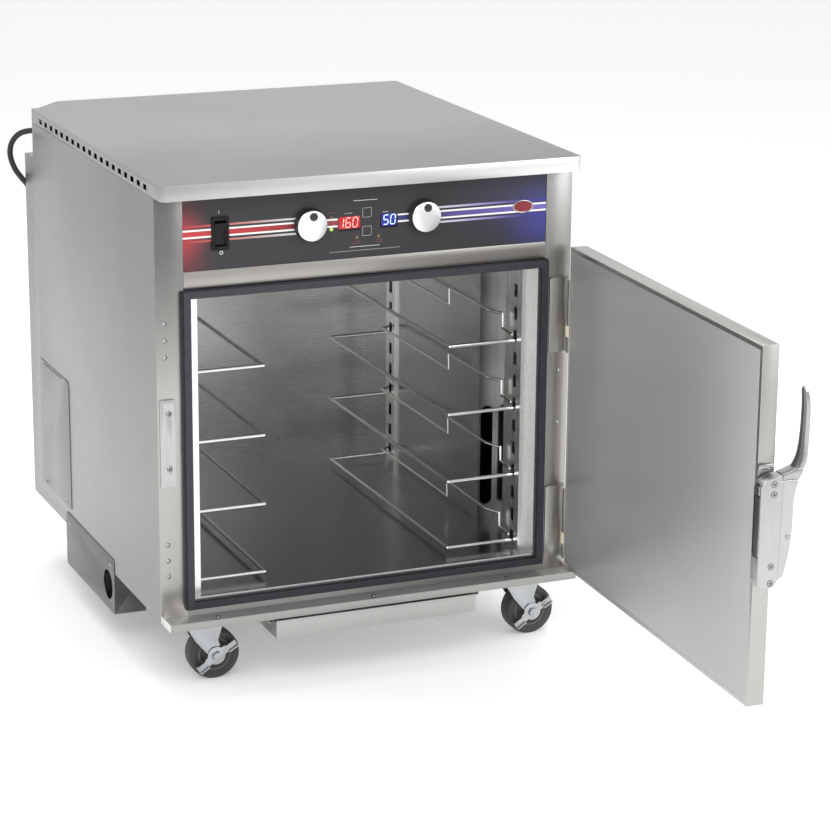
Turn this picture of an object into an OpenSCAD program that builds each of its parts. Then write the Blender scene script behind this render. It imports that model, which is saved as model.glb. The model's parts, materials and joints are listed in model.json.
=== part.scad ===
// Food holding cabinet: undercounter heated, humidified holding cabinet on casters, door open.
// Millimetres, +Z up, the door side faces -Y. Z = 0 is the floor.
// Modelled from the left side panel (X = 0) and the front frame face (Y = 0), then centred.

/* [Cabinet] */
// Width over the side panels
cabinet_width = 700; // [600:5:800]
// Depth from the front frame face to the rear panel
cabinet_depth = 740; // [650:5:850]
// Height from the floor to the top panel
cabinet_height = 830; // [780:5:900]
// Sheet metal thickness of skins
sheet = 1.2; // [0.8:0.1:2]
// Forward reach of the nose along the top front edge
nose_reach = 35; // [20:1:50]
// Height of the nose and of the top panel flanges
nose_height = 24; // [16:1:32]
// Forward reach of the sill trough
sill_reach = 49; // [30:1:60]

/* [Front frame] */
// Width of each front post
post_width = 45; // [35:1:60]
// Height of the header rail between control panel and door gasket
header_height = 27; // [20:1:40]
// Width of the gasket band
gasket_band = 14; // [10:1:20]

/* [Door] */
// Width of the door panel
door_width = 655; // [560:5:750]
// Height of the door panel
door_height = 539; // [480:1:600]
// Thickness of the door panel
door_thickness = 28; // [22:1:50]
// How far the door is drawn open
door_open = 88; // [0:1:180]

/* [Controls] */
// Diameter of the rotary knobs
knob_diameter = 45; // [30:1:60]
// Height of the rotary knobs
knob_height = 15; // [10:1:25]
// Travel of the two keys
key_travel = 0.4; // [0.2:0.1:1]

/* [Pan slides] */
// Pitch of the slots in the uprights
slot_pitch = 38.1; // [25:0.1:50]
// Number of slots in each upright
slot_count = 12; // [6:1:14]
// Slots between one slide and the next
slide_step = 3; // [1:1:4]
// Diameter of the supporting wire
wire_diameter = 6.4; // [4:0.1:8]
// Diameter of the guide wire
guide_diameter = 4.6; // [3:0.1:6]

/* [Casters] */
// Height from the floor to the underside of the base
caster_height = 126; // [90:1:150]
// Wheel diameter
wheel_diameter = 84; // [65:1:125]
// Wheel width
wheel_width = 32; // [20:1:40]
// Offset of the wheel centre from the swivel axis
caster_trail = 35; // [20:1:45]

/* [Power cord] */
// Outer diameter of the mains cord
cord_diameter = 10; // [7:0.5:12]
// Full length of the mains cord from the gland to the plug
cord_length = 3000; // [1500:50:4000]

/* [Hidden] */
$fn = 48;

steel = "silver";
liner_steel = "gainsboro";

// Levels of the body
body_base = caster_height;
nose_base = cabinet_height - nose_height;
header_top = body_base + 562;
header_base = header_top - header_height;
sill_floor = body_base + 6;
sill_rim = body_base + 12.6;
ledge_level = body_base + 617;
deck_level = header_top - 4;
skin_top = nose_base - 0.5;

// Rear left corner: the control bay is cut back for the cord
bay_flange_y = cabinet_depth - 54;
bay_side_y = bay_flange_y - 16;
bay_chamfer_x = [12, 60];
chamfer_angle = atan2(cabinet_depth - bay_flange_y, bay_chamfer_x[1] - bay_chamfer_x[0]);
gland_share = 0.5;
gland_place = [bay_chamfer_x[0] + gland_share * (bay_chamfer_x[1] - bay_chamfer_x[0]),
  bay_flange_y + gland_share * (cabinet_depth - bay_flange_y)];
gland_level = body_base + 656;
gland_reach = 20;

// Cavity
wall_x = 39;
liner_sheet = 1;
cavity_front = 26;
cavity_back = cabinet_depth - 40;
cavity_floor = body_base + 36;
cavity_ceiling = body_base + 526;
opening_x = 57;
opening_top = body_base + 520;
frame_bar_x = post_width + 1;

// Gasket and door
gasket_x = 41;
gasket_base = body_base + 17.2;
gasket_top = header_base - 1;
gasket_depth = 9.8;
door_base = body_base + 17.5;
door_inner_y = -10;
door_outer_y = door_inner_y - door_thickness;
hinge_axis = [cabinet_width - 6, -17];
door_hinge_edge = cabinet_width - 17;
door_free_edge = door_hinge_edge - door_width;
hinge_levels = [body_base + 25, body_base + 377];
hinge_pin_radius = 3.5;
hinge_knuckle_radius = 6;
bearing_play = 0.05;

// Latch, in the closed door's place
latch_base = body_base + 206;
latch_height = 167;
latch_pivot = [door_inner_y - 39, body_base + 281];
latch_boss = 5.5;
latch_pin_radius = 3;
lever_x = [4.5, 19];

// Controls
control_front = 1.2;
rocker_centre = [105, body_base + 618.4];
rocker_pivot_y = 6;
rocker_tilt = 8;
knob_level = body_base + 621;
knob_x = [251, 442];
display_level = body_base + 617;
display_x = [317.5, 384];
display_width = [36, 30];
display_height = 22;
key_x = 346.5;
key_levels = [body_base + 603.4, body_base + 632.8];
key_size = 15;
light_places = [[287.5, body_base + 628], [287.5, body_base + 610], [330, body_base + 594],
  [366.5, body_base + 593.5]];
light_radius = 2.5;
encoder_shaft_radius = 3;

// Air and moisture
duct_x = 70;
duct_front = 195;
duct_sheet = 1;
fan_centre = [cabinet_width / 2, 590];
plenum_base = cavity_ceiling - 52;
plenum_front = 470;
fan_radius = 70;
fan_shaft_radius = 4;
heater_radius = 100;
heater_tube = 4;
heater_leg_x = 30;
heater_leg_y = sqrt(heater_radius * heater_radius - heater_leg_x * heater_leg_x);
steam_pipe = [45, 400];
steam_pipe_radius = 5;

// Uprights and slides
upright_x = 74;
upright_y = [23, 86];
rear_strip_y = [560, 600];
slot_front_y = 46.5;
slot_rear_y = 580;
slot_size = [13, 21];
slot_base_level = body_base + 54;
slide_tip_x = 190;
slide_count = 4;

// Drip tray
tray_x = [177.5, 522.5];
tray_front = -42;
tray_depth = 302;
tray_base = body_base - 36;
tray_flange_top = body_base - 8.8;
tray_flange = 8;

// Service box under the left side, and the cover above it
box_y = [249, 532];
box_base = body_base - 71.5;
box_width = 53;
box_hole = [285, body_base - 29];
cover_y = [498, 672];
cover_z = [body_base + 36, body_base + 264];

// Casters
caster_x = 70;
caster_front_y = 65;
caster_rear_y = 675;
wheel_radius = wheel_diameter / 2;
axle_radius = 4;
plate_top = caster_height - 3;
fork_gap = wheel_width / 2 + 1.5;
fork_sheet = 3;
fork_top = caster_height - 15.5;
wheel_core_radius = 29;

// Power cord: the loop behind the notch, down the back, to a coil on the floor
cord_route = [[20.7, 726.5, 782], [10.2, 735.8, 782], [-3.5, 747.5, 776.8], [-13.8, 756.1, 765.8],
  [-19.5, 761.3, 750.2], [-19.3, 762.7, 732], [-12.9, 760.7, 712.2], [-3.5, 757.4, 697.2],
  [7.8, 755.7, 682.4], [16.1, 756.3, 665.2], [20.3, 757, 647.5], [24.6, 757, 629.8],
  [33.7, 757, 600.2], [49.1, 757, 550], [70.4, 757, 480.2], [95, 757, 400], [109.4, 759.5, 310],
  [118.2, 763.2, 220], [125, 766, 150], [128.2, 767.1, 105.2], [126.5, 767.8, 74.2],
  [125, 768, 50.2], [129.6, 768, 32.9], [140.4, 768, 18.9], [156.4, 768, 9.3],
  [173.8, 768, 5.6], [192, 768, 5.3]];
cord_steps = 3;
cord_sides = 10;
coil_centre = [226, 827.5];
coil_mean_radius = 54.5;
coil_turns_across = 2;
coil_lead_y = coil_centre[1] - coil_mean_radius - cord_diameter / 2;
coil_end_level = 15.4;
plug_x = 264;

// Half the extent of the cabinet with its door drawn open puts the origin on the floor below it
open_reach = hinge_axis[0] * (1 - cos(door_open)) + 64 * sin(door_open);
origin_x = max(cabinet_width, open_reach) / 2;
origin_y = (cabinet_depth + hinge_axis[1] - hinge_axis[0] * sin(door_open)) / 2;

// ---- helpers ----

module placed() translate([-origin_x, -origin_y, 0]) children();

module on_door() placed()
  translate([hinge_axis[0], hinge_axis[1], 0]) rotate([0, 0, door_open])
    translate([-hinge_axis[0], -hinge_axis[1], 0]) children();

// The same thing on both sides of the cabinet
module both_sides() {
  children();
  translate([cabinet_width, 0, 0]) mirror([1, 0, 0]) children();
}

// A box between two corners
module block(low, high) translate(low) cube(high - low);

// The same in a flat outline
module block_2d(low, high) translate(low) square(high - low);

// A flat outline in X and Z given thickness along +Y, from y
module upright_plate(y, thickness) translate([0, y + thickness, 0]) rotate([90, 0, 0])
  linear_extrude(thickness) children();

// A flat outline in Y and Z given thickness along +X, from x
module side_plate(x, thickness) translate([x, 0, 0]) rotate([90, 0, 90])
  linear_extrude(thickness) children();

module rounded_square(size, radius) {
  square([size[0] - 2 * radius, size[1]], center = true);
  square([size[0], size[1] - 2 * radius], center = true);
  for (x = [-1, 1], y = [-1, 1])
    translate([x * (size[0] / 2 - radius), y * (size[1] / 2 - radius)]) circle(radius);
}

module obround(width, height) {
  square([width, height - width], center = true);
  for (y = [-1, 1]) translate([0, y * (height - width) / 2]) circle(d = width);
}

// A straight wire between two points
module wire(a, b, radius) {
  d = b - a;
  translate(a) rotate([0, atan2(norm([d[0], d[1]]), d[2]), atan2(d[1], d[0])])
    cylinder(r = radius, h = norm(d), $fn = 20);
}

// A bent wire through a list of points, with full round bends
module bent_wire(points, radius) {
  for (i = [0 : len(points) - 2]) wire(points[i], points[i + 1], radius);
  for (i = [1 : len(points) - 2]) translate(points[i]) sphere(r = radius + 0.15, $fn = 20);
}

// A domed screw head standing on the plane Z = 0
module dome_head(radius, height) {
  ball = (radius * radius + height * height) / (2 * height);
  intersection() {
    translate([0, 0, height - ball]) sphere(r = ball);
    cylinder(r = radius + 1, h = height + 1);
  }
}

// ---- outer body ----

module side_panel_left() color(steel) placed() difference() {
  side_plate(0, sheet) polygon([[sheet, body_base], [cabinet_depth, body_base],
    [cabinet_depth, ledge_level], [bay_side_y, ledge_level], [bay_side_y, skin_top],
    [sheet, skin_top]]);
  block([-1, cover_y[0] + 8, cover_z[0] + 8], [2, cover_y[1] - 8, cover_z[1] - 8]);
}

module side_panel_right() color(steel) placed()
  side_plate(cabinet_width - sheet, sheet) polygon([[sheet, body_base],
    [cabinet_depth, body_base], [cabinet_depth, skin_top], [sheet, skin_top]]);

module rear_panel() color(steel) placed() {
  difference() {
    block([sheet + 0.1, cabinet_depth - sheet, body_base],
      [cabinet_width - sheet - 0.1, cabinet_depth, ledge_level]);
    for (column = [-1, 0, 1], row = [0 : 7])
      translate([cabinet_width / 2 + column * 110, cabinet_depth, body_base + 60 + row * 16])
        rotate([90, 90, 0]) translate([0, 0, -1]) linear_extrude(4) obround(5, 80);
  }
  block([sheet + 0.1, bay_side_y, ledge_level - sheet],
    [bay_chamfer_x[1] + 12, cabinet_depth - sheet, ledge_level]);
}

module control_bay_back() color(steel) placed() difference() {
  translate([0, 0, ledge_level]) linear_extrude(skin_top - ledge_level)
    polygon([[0, bay_side_y + 0.2], [0, bay_flange_y], [bay_chamfer_x[0], bay_flange_y],
      [bay_chamfer_x[1], cabinet_depth], [cabinet_width - sheet - 0.1, cabinet_depth],
      [cabinet_width - sheet - 0.1, cabinet_depth - sheet],
      [bay_chamfer_x[1] + 0.54, cabinet_depth - sheet],
      [bay_chamfer_x[0] + 0.54, bay_flange_y - sheet], [sheet, bay_flange_y - sheet],
      [sheet, bay_side_y + 0.2]]);
  translate([gland_place[0], gland_place[1], gland_level])
    rotate([0, 0, chamfer_angle]) rotate([90, 0, 0]) cylinder(r = 9.5, h = 30, center = true);
  for (column = [-2 : 2], row = [0, 1])
    translate([cabinet_width / 2 + 60 + column * 90, cabinet_depth, ledge_level + 22 + row * 18])
      rotate([90, 90, 0]) translate([0, 0, -1]) linear_extrude(4) obround(6, 60);
}

// Outline of the top, drawn in by a wall thickness
module top_outline(wall) {
  w = cabinet_width;
  d = cabinet_depth - wall;
  corner = 7;
  slope = wall * 0.45;
  polygon([[wall, corner - nose_reach + slope], [corner + slope, wall - nose_reach],
    [w - corner - slope, wall - nose_reach], [w - wall, corner - nose_reach + slope],
    [w - wall, d], [bay_chamfer_x[1] + slope, d], [bay_chamfer_x[0] + slope, bay_flange_y - wall],
    [wall, bay_flange_y - wall]]);
}

module top_panel() color(steel) placed() difference() {
  union() {
    difference() {
      translate([0, 0, nose_base]) linear_extrude(nose_height) top_outline(0);
      translate([0, 0, nose_base - 1]) linear_extrude(nose_height - sheet + 1) top_outline(sheet);
    }
    translate([0, 0, nose_base]) linear_extrude(sheet) intersection() {
      top_outline(sheet / 2);
      translate([0, -nose_reach]) square([cabinet_width, nose_reach]);
    }
  }
  for (i = [0 : 18], x = [-1, cabinet_width - 3])
    translate([x, 34.8 + i * 32.6, nose_base + 5.5]) cube([4, 17, 8.5]);
}

module front_frame() color(steel) placed() {
  both_sides() translate([0, 0, sill_floor + 0.1]) linear_extrude(skin_top - sill_floor - 0.1)
    polygon([[0, 0], [post_width, 0], [post_width, 24], [post_width - sheet, 24],
      [post_width - sheet, sheet], [2.6, sheet], [2.6, 24], [1.4, 24], [1.4, sheet], [0, sheet]]);
  side_plate(post_width + 0.1, cabinet_width - 2 * post_width - 0.2)
    polygon([[0, header_base], [14, header_base], [14, header_base + sheet],
      [sheet, header_base + sheet], [sheet, header_top - sheet], [14, header_top - sheet],
      [14, header_top], [0, header_top]]);
}

module sill_trough() color(steel) placed() difference() {
  union() {
    block([0, -sill_reach, body_base], [cabinet_width, sheet - sill_reach, sill_rim]);
    for (x = [0, cabinet_width - sheet])
      block([x, -sill_reach, body_base], [x + sheet, -0.1, sill_rim]);
    block([0, -sill_reach, sill_floor - sheet], [cabinet_width, -0.1, sill_floor]);
    block([1.4, -1, sill_floor - sheet], [cabinet_width - 1.4, 24, sill_floor]);
    block([post_width + 0.1, 0, sill_floor - 0.1],
      [cabinet_width - post_width - 0.1, sheet, cavity_floor - 8]);
  }
  translate([cabinet_width / 2, -30, sill_floor]) cylinder(r = 6, h = 10, center = true);
}

module base_pan() color(steel) placed() {
  pan = [1.4, 24.2];
  far = [cabinet_width - 1.4, cabinet_depth - 1.4];
  difference() {
    union() {
      difference() {
        block([pan[0], pan[1], body_base], [far[0], far[1], body_base + 24]);
        block([pan[0] + 1.5, pan[1] - 1, body_base + 1.5],
          [far[0] - 1.5, far[1] - 1.5, body_base + 25]);
      }
      for (x = [caster_x, cabinet_width - caster_x]) {
        block([x - 50, caster_front_y - 38, plate_top], [x + 50, caster_front_y + 38, body_base]);
        block([x - 38, caster_rear_y - 50, plate_top], [x + 38, caster_rear_y + 50, body_base]);
      }
    }
    translate([steam_pipe[0], steam_pipe[1], body_base])
      cylinder(r = steam_pipe_radius + 0.8, h = 10, center = true);
    translate([cabinet_width / 2, 60, body_base]) cylinder(r = 6, h = 10, center = true);
  }
  // Two channels that carry the drip tray by its flanges
  both_sides() side_channel();
}

module side_channel() {
  web = tray_x[0] - tray_flange - 2.5;
  low = tray_flange_top - sheet - 0.8 - 1.5;
  block([web, 24.5, low], [web + 1.5, 290, body_base]);
  block([web - 14, 24.5, body_base - 1.5], [web + 1, 290, body_base]);
  block([web, -30, low], [web + 1.5, 25, body_base - 1.8]);
  block([web, -30, low], [web + 9, 290, low + 1.5]);
}

module control_deck() color(liner_steel) placed() difference() {
  block([1.6, 26, deck_level], [cabinet_width - 1.6, cabinet_depth - 1.4, deck_level + sheet]);
  translate([fan_centre[0], fan_centre[1], deck_level]) cylinder(r = 7, h = 10, center = true);
  for (x = [-heater_leg_x, heater_leg_x])
    translate([fan_centre[0] + x, fan_centre[1] - heater_leg_y, deck_level])
      cylinder(r = 7, h = 10, center = true);
}

module cavity_liner() color(liner_steel) placed() difference() {
  union() {
    block([wall_x - liner_sheet, cavity_front, cavity_floor - liner_sheet],
      [cabinet_width - wall_x + liner_sheet, cavity_back + liner_sheet,
       cavity_ceiling + liner_sheet]);
    block([frame_bar_x, 0.05, cavity_floor - 7.5],
      [cabinet_width - frame_bar_x, cavity_front + 0.5, header_base - 1]);
  }
  block([wall_x, cavity_front + liner_sheet, cavity_floor],
    [cabinet_width - wall_x, cavity_back, cavity_ceiling]);
  block([opening_x, -1, cavity_floor],
    [cabinet_width - opening_x, cavity_front + 2, opening_top]);
  translate([fan_centre[0], fan_centre[1], cavity_ceiling]) cylinder(r = 7, h = 8, center = true);
  for (x = [-heater_leg_x, heater_leg_x])
    translate([fan_centre[0] + x, fan_centre[1] - heater_leg_y, cavity_ceiling])
      cylinder(r = 7, h = 8, center = true);
  translate([steam_pipe[0], steam_pipe[1], cavity_floor])
    cylinder(r = steam_pipe_radius + 0.8, h = 8, center = true);
}

module insulation() color("khaki") placed() {
  low = body_base + 1.8;
  high = deck_level - 0.2;
  inner = wall_x - liner_sheet - 0.2;
  back = cavity_back + liner_sheet + 0.2;
  both_sides() block([3.2, 27, low], [inner, cabinet_depth - 3.2, high]);
  block([inner + 0.2, back, low], [cabinet_width - inner - 0.2, cabinet_depth - 3.2, high]);
  difference() {
    union() {
      block([inner + 0.2, 27.2, low],
        [cabinet_width - inner - 0.2, back - 0.2, cavity_floor - liner_sheet - 0.2]);
      block([inner + 0.2, 27.2, cavity_ceiling + liner_sheet + 0.2],
        [cabinet_width - inner - 0.2, back - 0.2, high]);
    }
    translate([steam_pipe[0], steam_pipe[1], low])
      cylinder(r = steam_pipe_radius + 0.8, h = 90, center = true);
    translate([fan_centre[0], fan_centre[1], high]) cylinder(r = 7, h = 90, center = true);
    for (x = [-heater_leg_x, heater_leg_x])
      translate([fan_centre[0] + x, fan_centre[1] - heater_leg_y, high])
        cylinder(r = 7, h = 90, center = true);
  }
}

// ---- control panel ----

// The holes that the overlay and its plate share, grown by a margin
module control_holes(margin, shaft, rocker_size) {
  translate(rocker_centre) square(rocker_size, center = true);
  for (x = knob_x) translate([x, knob_level]) circle(shaft);
  for (i = [0, 1]) translate([display_x[i], display_level])
    square([display_width[i] + margin, display_height + margin], center = true);
  for (place = light_places) translate(place) circle(light_radius + margin / 2);
}

module control_field() translate([post_width + 0.3, header_top + 0.2])
  square([cabinet_width - 2 * post_width - 0.6, skin_top - header_top - 0.4]);

module control_plate() color(steel) placed() upright_plate(control_front + 0.9, sheet)
  difference() {
    control_field();
    control_holes(0.4, 5.2, [23.4, 44.4]);
  }

module control_overlay() color("dimgray") placed() upright_plate(control_front, 0.9)
  difference() {
    control_field();
    control_holes(0.4, 6, [23.4, 44.4]);
    for (z = key_levels) translate([key_x, z])
      square([key_size + 0.8, key_size + 0.8], center = true);
  }

module displays() color("darkred") placed() for (i = [0, 1]) {
  translate([display_x[i], 0, display_level]) {
    upright_plate(control_front + 0.2, 4) square([display_width[i], display_height], center = true);
    upright_plate(control_front + sheet + 1.1, 10)
      square([display_width[i] + 6, display_height + 6], center = true);
  }
}

module indicator_lights() color("limegreen") placed() for (place = light_places)
  translate([place[0], control_front, place[1]]) rotate([90, 0, 0]) {
    translate([0, 0, -6]) cylinder(r = light_radius, h = 6, $fn = 24);
    dome_head(light_radius, 0.6);
  }

module switch_bezel() color("black") placed() translate([rocker_centre[0], 0, rocker_centre[1]])
  difference() {
    union() {
      upright_plate(control_front - 3.2, 3.2) rounded_square([28, 52], 2.5);
      upright_plate(control_front - 1, 26) square([23, 44], center = true);
    }
    upright_plate(-10, 30) square([19, 39.8], center = true);
  }

module power_rocker() color("black") placed()
  translate([rocker_centre[0] - 9.2, rocker_pivot_y, rocker_centre[1]])
    rotate([rocker_tilt, 0, 0]) side_plate(0, 18.4)
      polygon([[-6, -18.4], [-8.5, -16.8], [-5.6, 0], [-8.5, 16.8], [-6, 18.4], [7, 11], [7, -11]]);

// Knob with a skirt, a crowned face and a finger dimple, on the axis -Y
module knob(x) placed() translate([x, control_front - 0.6, knob_level]) rotate([90, 0, 0])
  difference() {
    union() {
      cylinder(r = knob_diameter / 2 + 2, h = 3);
      cylinder(r = knob_diameter / 2, h = knob_height);
    }
    translate([0, 0, -1]) cylinder(r = encoder_shaft_radius + bearing_play, h = knob_height - 4);
    translate([0.6, 13.5, knob_height + 2.2]) sphere(r = 7);
  }

module knob_temperature() color("silver") knob(knob_x[0]);

module knob_humidity() color("silver") knob(knob_x[1]);

module key(z) placed() translate([key_x, 0, z]) upright_plate(control_front - 0.4, 0.8)
  rounded_square([key_size, key_size], 2.5);

module key_upper() color("gray") key(key_levels[1]);

module key_lower() color("gray") key(key_levels[0]);

module control_electronics() color("darkgreen") placed() {
  // Circuit board on four spacers, with the two encoders
  block([232, 16, header_top + 10], [462, 17.6, header_top + 100]);
  for (x = [238, 456], z = [header_top + 16, header_top + 94])
    translate([x, 3.4, z]) rotate([-90, 0, 0]) cylinder(r = 3, h = 13);
  for (x = knob_x) translate([x, 0, knob_level]) {
    upright_plate(5, 11.5) square([13, 13], center = true);
    translate([0, 6, 0]) rotate([90, 0, 0]) cylinder(r = 4.8, h = 4.4);
    translate([0, 6, 0]) rotate([90, 0, 0]) cylinder(r = encoder_shaft_radius, h = 15);
  }
  // Power supply on the deck
  block([500, 60, deck_level + sheet + 0.1], [620, 180, deck_level + 50]);
  for (i = [0 : 5]) block([508 + i * 18, 66, deck_level + 49], [518 + i * 18, 174, deck_level + 60]);
}

// ---- air and moisture system ----

module air_heater() color("dimgray") placed() translate([fan_centre[0], fan_centre[1], 0]) {
  translate([0, 0, plenum_base + 26]) rotate_extrude($fn = 64) translate([heater_radius, 0])
    circle(heater_tube, $fn = 20);
  for (x = [-heater_leg_x, heater_leg_x])
    translate([x, -heater_leg_y, plenum_base + 26])
      cylinder(r = heater_tube - 0.2, h = deck_level + 14 - plenum_base - 26);
}

module blower_motor() color("gray") placed() translate([fan_centre[0], fan_centre[1], 0]) {
  translate([0, 0, deck_level + sheet + 0.1]) cylinder(r = 45, h = 46);
  translate([-55, -55, deck_level + sheet + 0.1]) cube([110, 110, 3]);
  translate([0, 0, plenum_base + 8]) cylinder(r = fan_shaft_radius, h = deck_level - plenum_base);
}

module fan_wheel() color("gray") placed() translate([fan_centre[0], fan_centre[1], 0])
  difference() {
    union() {
      translate([0, 0, plenum_base + 38]) cylinder(r = fan_radius, h = 1.5);
      translate([0, 0, plenum_base + 12]) cylinder(r = 12, h = 27);
      translate([0, 0, plenum_base + 8]) difference() {
        cylinder(r = fan_radius, h = 1.5);
        translate([0, 0, -1]) cylinder(r = fan_radius - 14, h = 4);
      }
      for (i = [0 : 17]) rotate([0, 0, i * 20]) translate([fan_radius - 13, -0.75, plenum_base + 8])
        cube([12, 1.5, 31]);
    }
    translate([0, 0, plenum_base]) cylinder(r = fan_shaft_radius + bearing_play, h = 60);
  }

module ceiling_plenum() color(liner_steel) placed() difference() {
  block([duct_x + 0.2, plenum_front, plenum_base],
    [cabinet_width - duct_x - 0.2, cavity_back - 0.2, cavity_ceiling - 0.2]);
  block([duct_x + 1.2, plenum_front + 1, plenum_base + 1],
    [cabinet_width - duct_x - 1.2, cavity_back - 1.2, cavity_ceiling + 1]);
  // Round intake grille: rings of openings broken by a cross
  translate([fan_centre[0], fan_centre[1], plenum_base]) difference() {
    for (ring = [0 : 2]) rotate_extrude() translate([14 + ring * 15, -5]) square([11, 10]);
    for (turn = [0, 90]) rotate([0, 0, turn]) cube([140, 5, 20], center = true);
  }
  block([duct_x - 5, 510, plenum_base + 12],
    [cabinet_width - duct_x + 5, 670, plenum_base + 40]);
}

module humidity_boiler() color("gray") placed() {
  block([2, box_y[0] + 60, box_base + 2], [50, box_y[1] - 14, body_base - 16]);
  translate([steam_pipe[0], steam_pipe[1], body_base - 17])
    cylinder(r = steam_pipe_radius, h = cavity_floor + 6 - body_base + 17);
}

module air_ducts() color(liner_steel) placed() both_sides() difference() {
  union() {
    block([duct_x - duct_sheet, duct_front, cavity_floor + 0.2],
      [duct_x, cavity_back - 0.2, cavity_ceiling - 0.2]);
    block([wall_x + 0.2, duct_front, cavity_floor + 0.2],
      [duct_x, duct_front + duct_sheet, cavity_ceiling - 0.2]);
  }
  translate([wall_x + 16, 0, body_base + 149.5]) upright_plate(duct_front - 1, 3) obround(22, 175);
  block([duct_x - 3, 510, plenum_base + 12], [duct_x + 3, 670, plenum_base + 40]);
}

// ---- uprights and wire slides ----

function slot_level(i) = slot_base_level + slot_pitch * i;

module slide_uprights() color(liner_steel) placed() both_sides() {
  wall = 1.5;
  low = cavity_floor + 0.2;
  high = cavity_ceiling - 0.5;
  difference() {
    translate([0, 0, low]) linear_extrude(high - low)
      polygon([[wall_x + 0.2, upright_y[0]], [upright_x, upright_y[0]], [upright_x, upright_y[1]],
        [50, upright_y[1]], [50, upright_y[1] - wall], [upright_x - wall, upright_y[1] - wall],
        [upright_x - wall, upright_y[0] + wall], [wall_x + 0.2, upright_y[0] + wall]]);
    block([wall_x - 1, 0, low - 1], [opening_x, cavity_front + liner_sheet + 0.2, high + 1]);
    block([wall_x - 1, 0, opening_top - 0.3],
      [upright_x + 1, cavity_front + liner_sheet + 0.2, high + 1]);
    for (i = [0 : slot_count - 1]) translate([upright_x, slot_front_y, slot_level(i)])
      cube([8, slot_size[0], slot_size[1]], center = true);
  }
  difference() {
    block([duct_x + 0.2, rear_strip_y[0], low], [upright_x, rear_strip_y[1], plenum_base - 1]);
    block([duct_x - 1, rear_strip_y[0] + wall, low - 1],
      [upright_x - wall, rear_strip_y[1] - wall, plenum_base]);
    for (i = [0 : slot_count - 1]) translate([upright_x, slot_rear_y, slot_level(i)])
      cube([8, slot_size[0], slot_size[1]], center = true);
  }
}

// One wire slide: the bearing wire and the raised guide wire, hooked into both uprights
module slide(z) {
  r = wire_diameter / 2;
  g = guide_diameter / 2;
  hook_x = upright_x - 5.2;
  rear_x = duct_x + 1.2;
  bent_wire([[hook_x, slot_front_y, z - 3], [hook_x, slot_front_y, z],
    [slide_tip_x, slot_front_y, z], [slide_tip_x, slot_rear_y, z], [rear_x, slot_rear_y, z]], r);
  bent_wire([[hook_x, slot_front_y, z], [hook_x, slot_front_y, z + 10],
    [upright_x + 5, 48, z + 10], [upright_x + 8, 79, z + 14], [upright_x + 8, 80, z + 38], [98, 102, z + 41],
    [97, 265, z + 41], [95, 268, z + 12], [95, slot_rear_y - 14, z + 12],
    [upright_x + 4, slot_rear_y, z + 10], [upright_x + 4, slot_rear_y, z]], g);
}

module slides_one_side() for (i = [0 : slide_count - 1])
  slide(slot_level(i * slide_step) - slot_size[1] / 2 + wire_diameter / 2 + 0.3);

module slides_left() color("white") placed() slides_one_side();

module slides_right() color("white") placed()
  translate([cabinet_width, 0, 0]) mirror([1, 0, 0]) slides_one_side();

// ---- gasket, strike, hinges ----

module gasket_ring(inset, band) difference() {
  block_2d([gasket_x + inset, gasket_base + inset],
    [cabinet_width - gasket_x - inset, gasket_top - inset]);
  block_2d([gasket_x + inset + band, gasket_base + inset + band],
    [cabinet_width - gasket_x - inset - band, gasket_top - inset - band]);
}

module door_gasket() color("slategray") placed() {
  upright_plate(-4, 4) gasket_ring(0, gasket_band);
  upright_plate(-gasket_depth, gasket_depth - 3.9) gasket_ring(1.5, gasket_band - 3);
}

module strike_plate() color(steel) placed() difference() {
  translate([15.5, 0, body_base + 293.5]) upright_plate(-4, 4) rounded_square([25, 141], 2);
  for (z = [253.5, 342.5]) translate([17.2, -2.2, body_base + z]) rotate([90, 0, 0])
    cylinder(r = 4.6, h = 3);
}

module hinge_frame_leaves() color(steel) placed() for (z = hinge_levels)
  translate([hinge_axis[0], hinge_axis[1], z]) {
    block([-31, -3 - hinge_axis[1], 0], [3, -hinge_axis[1], 126]);
    block([-3, 0, 2], [3, -2 - hinge_axis[1], 28]);
    translate([0, 0, 2]) cylinder(r = hinge_knuckle_radius, h = 26);
    translate([0, 0, 2]) cylinder(r = hinge_pin_radius, h = 116);
    // Small rain ledge pressed out over the knuckle
    block([-31, -8 - hinge_axis[1], 124], [1, -2 - hinge_axis[1], 126]);
  }

module hinge_bushings() color("ivory") placed() for (z = hinge_levels)
  translate([hinge_axis[0], hinge_axis[1], z + 28.2]) difference() {
    cylinder(r = 7.5, h = 18.8);
    translate([0, 0, -1]) cylinder(r = hinge_pin_radius + bearing_play, h = 22);
  }

module hinge_door_leaves() color(steel) on_door() for (z = hinge_levels)
  translate([hinge_axis[0], hinge_axis[1], z + 47.3]) difference() {
    union() {
      cylinder(r = hinge_knuckle_radius, h = 74);
      block([-11, -20, 0], [-8, 6, 74]);
      block([-9, -3, 0], [-2, 3, 74]);
    }
    translate([0, 0, -1]) cylinder(r = hinge_pin_radius + bearing_play, h = 73);
  }

// ---- fixings and covers on the body ----

// Dome heads on faces that look along -Y, -X, +Z and +Y
module heads_front(y, places, radius) for (p = places)
  translate([p[0], y, p[1]]) rotate([90, 0, 0]) dome_head(radius, 2.2);

module heads_left(x, places, radius) for (p = places)
  translate([x, p[0], p[1]]) rotate([0, -90, 0]) dome_head(radius, 1.8);

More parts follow.
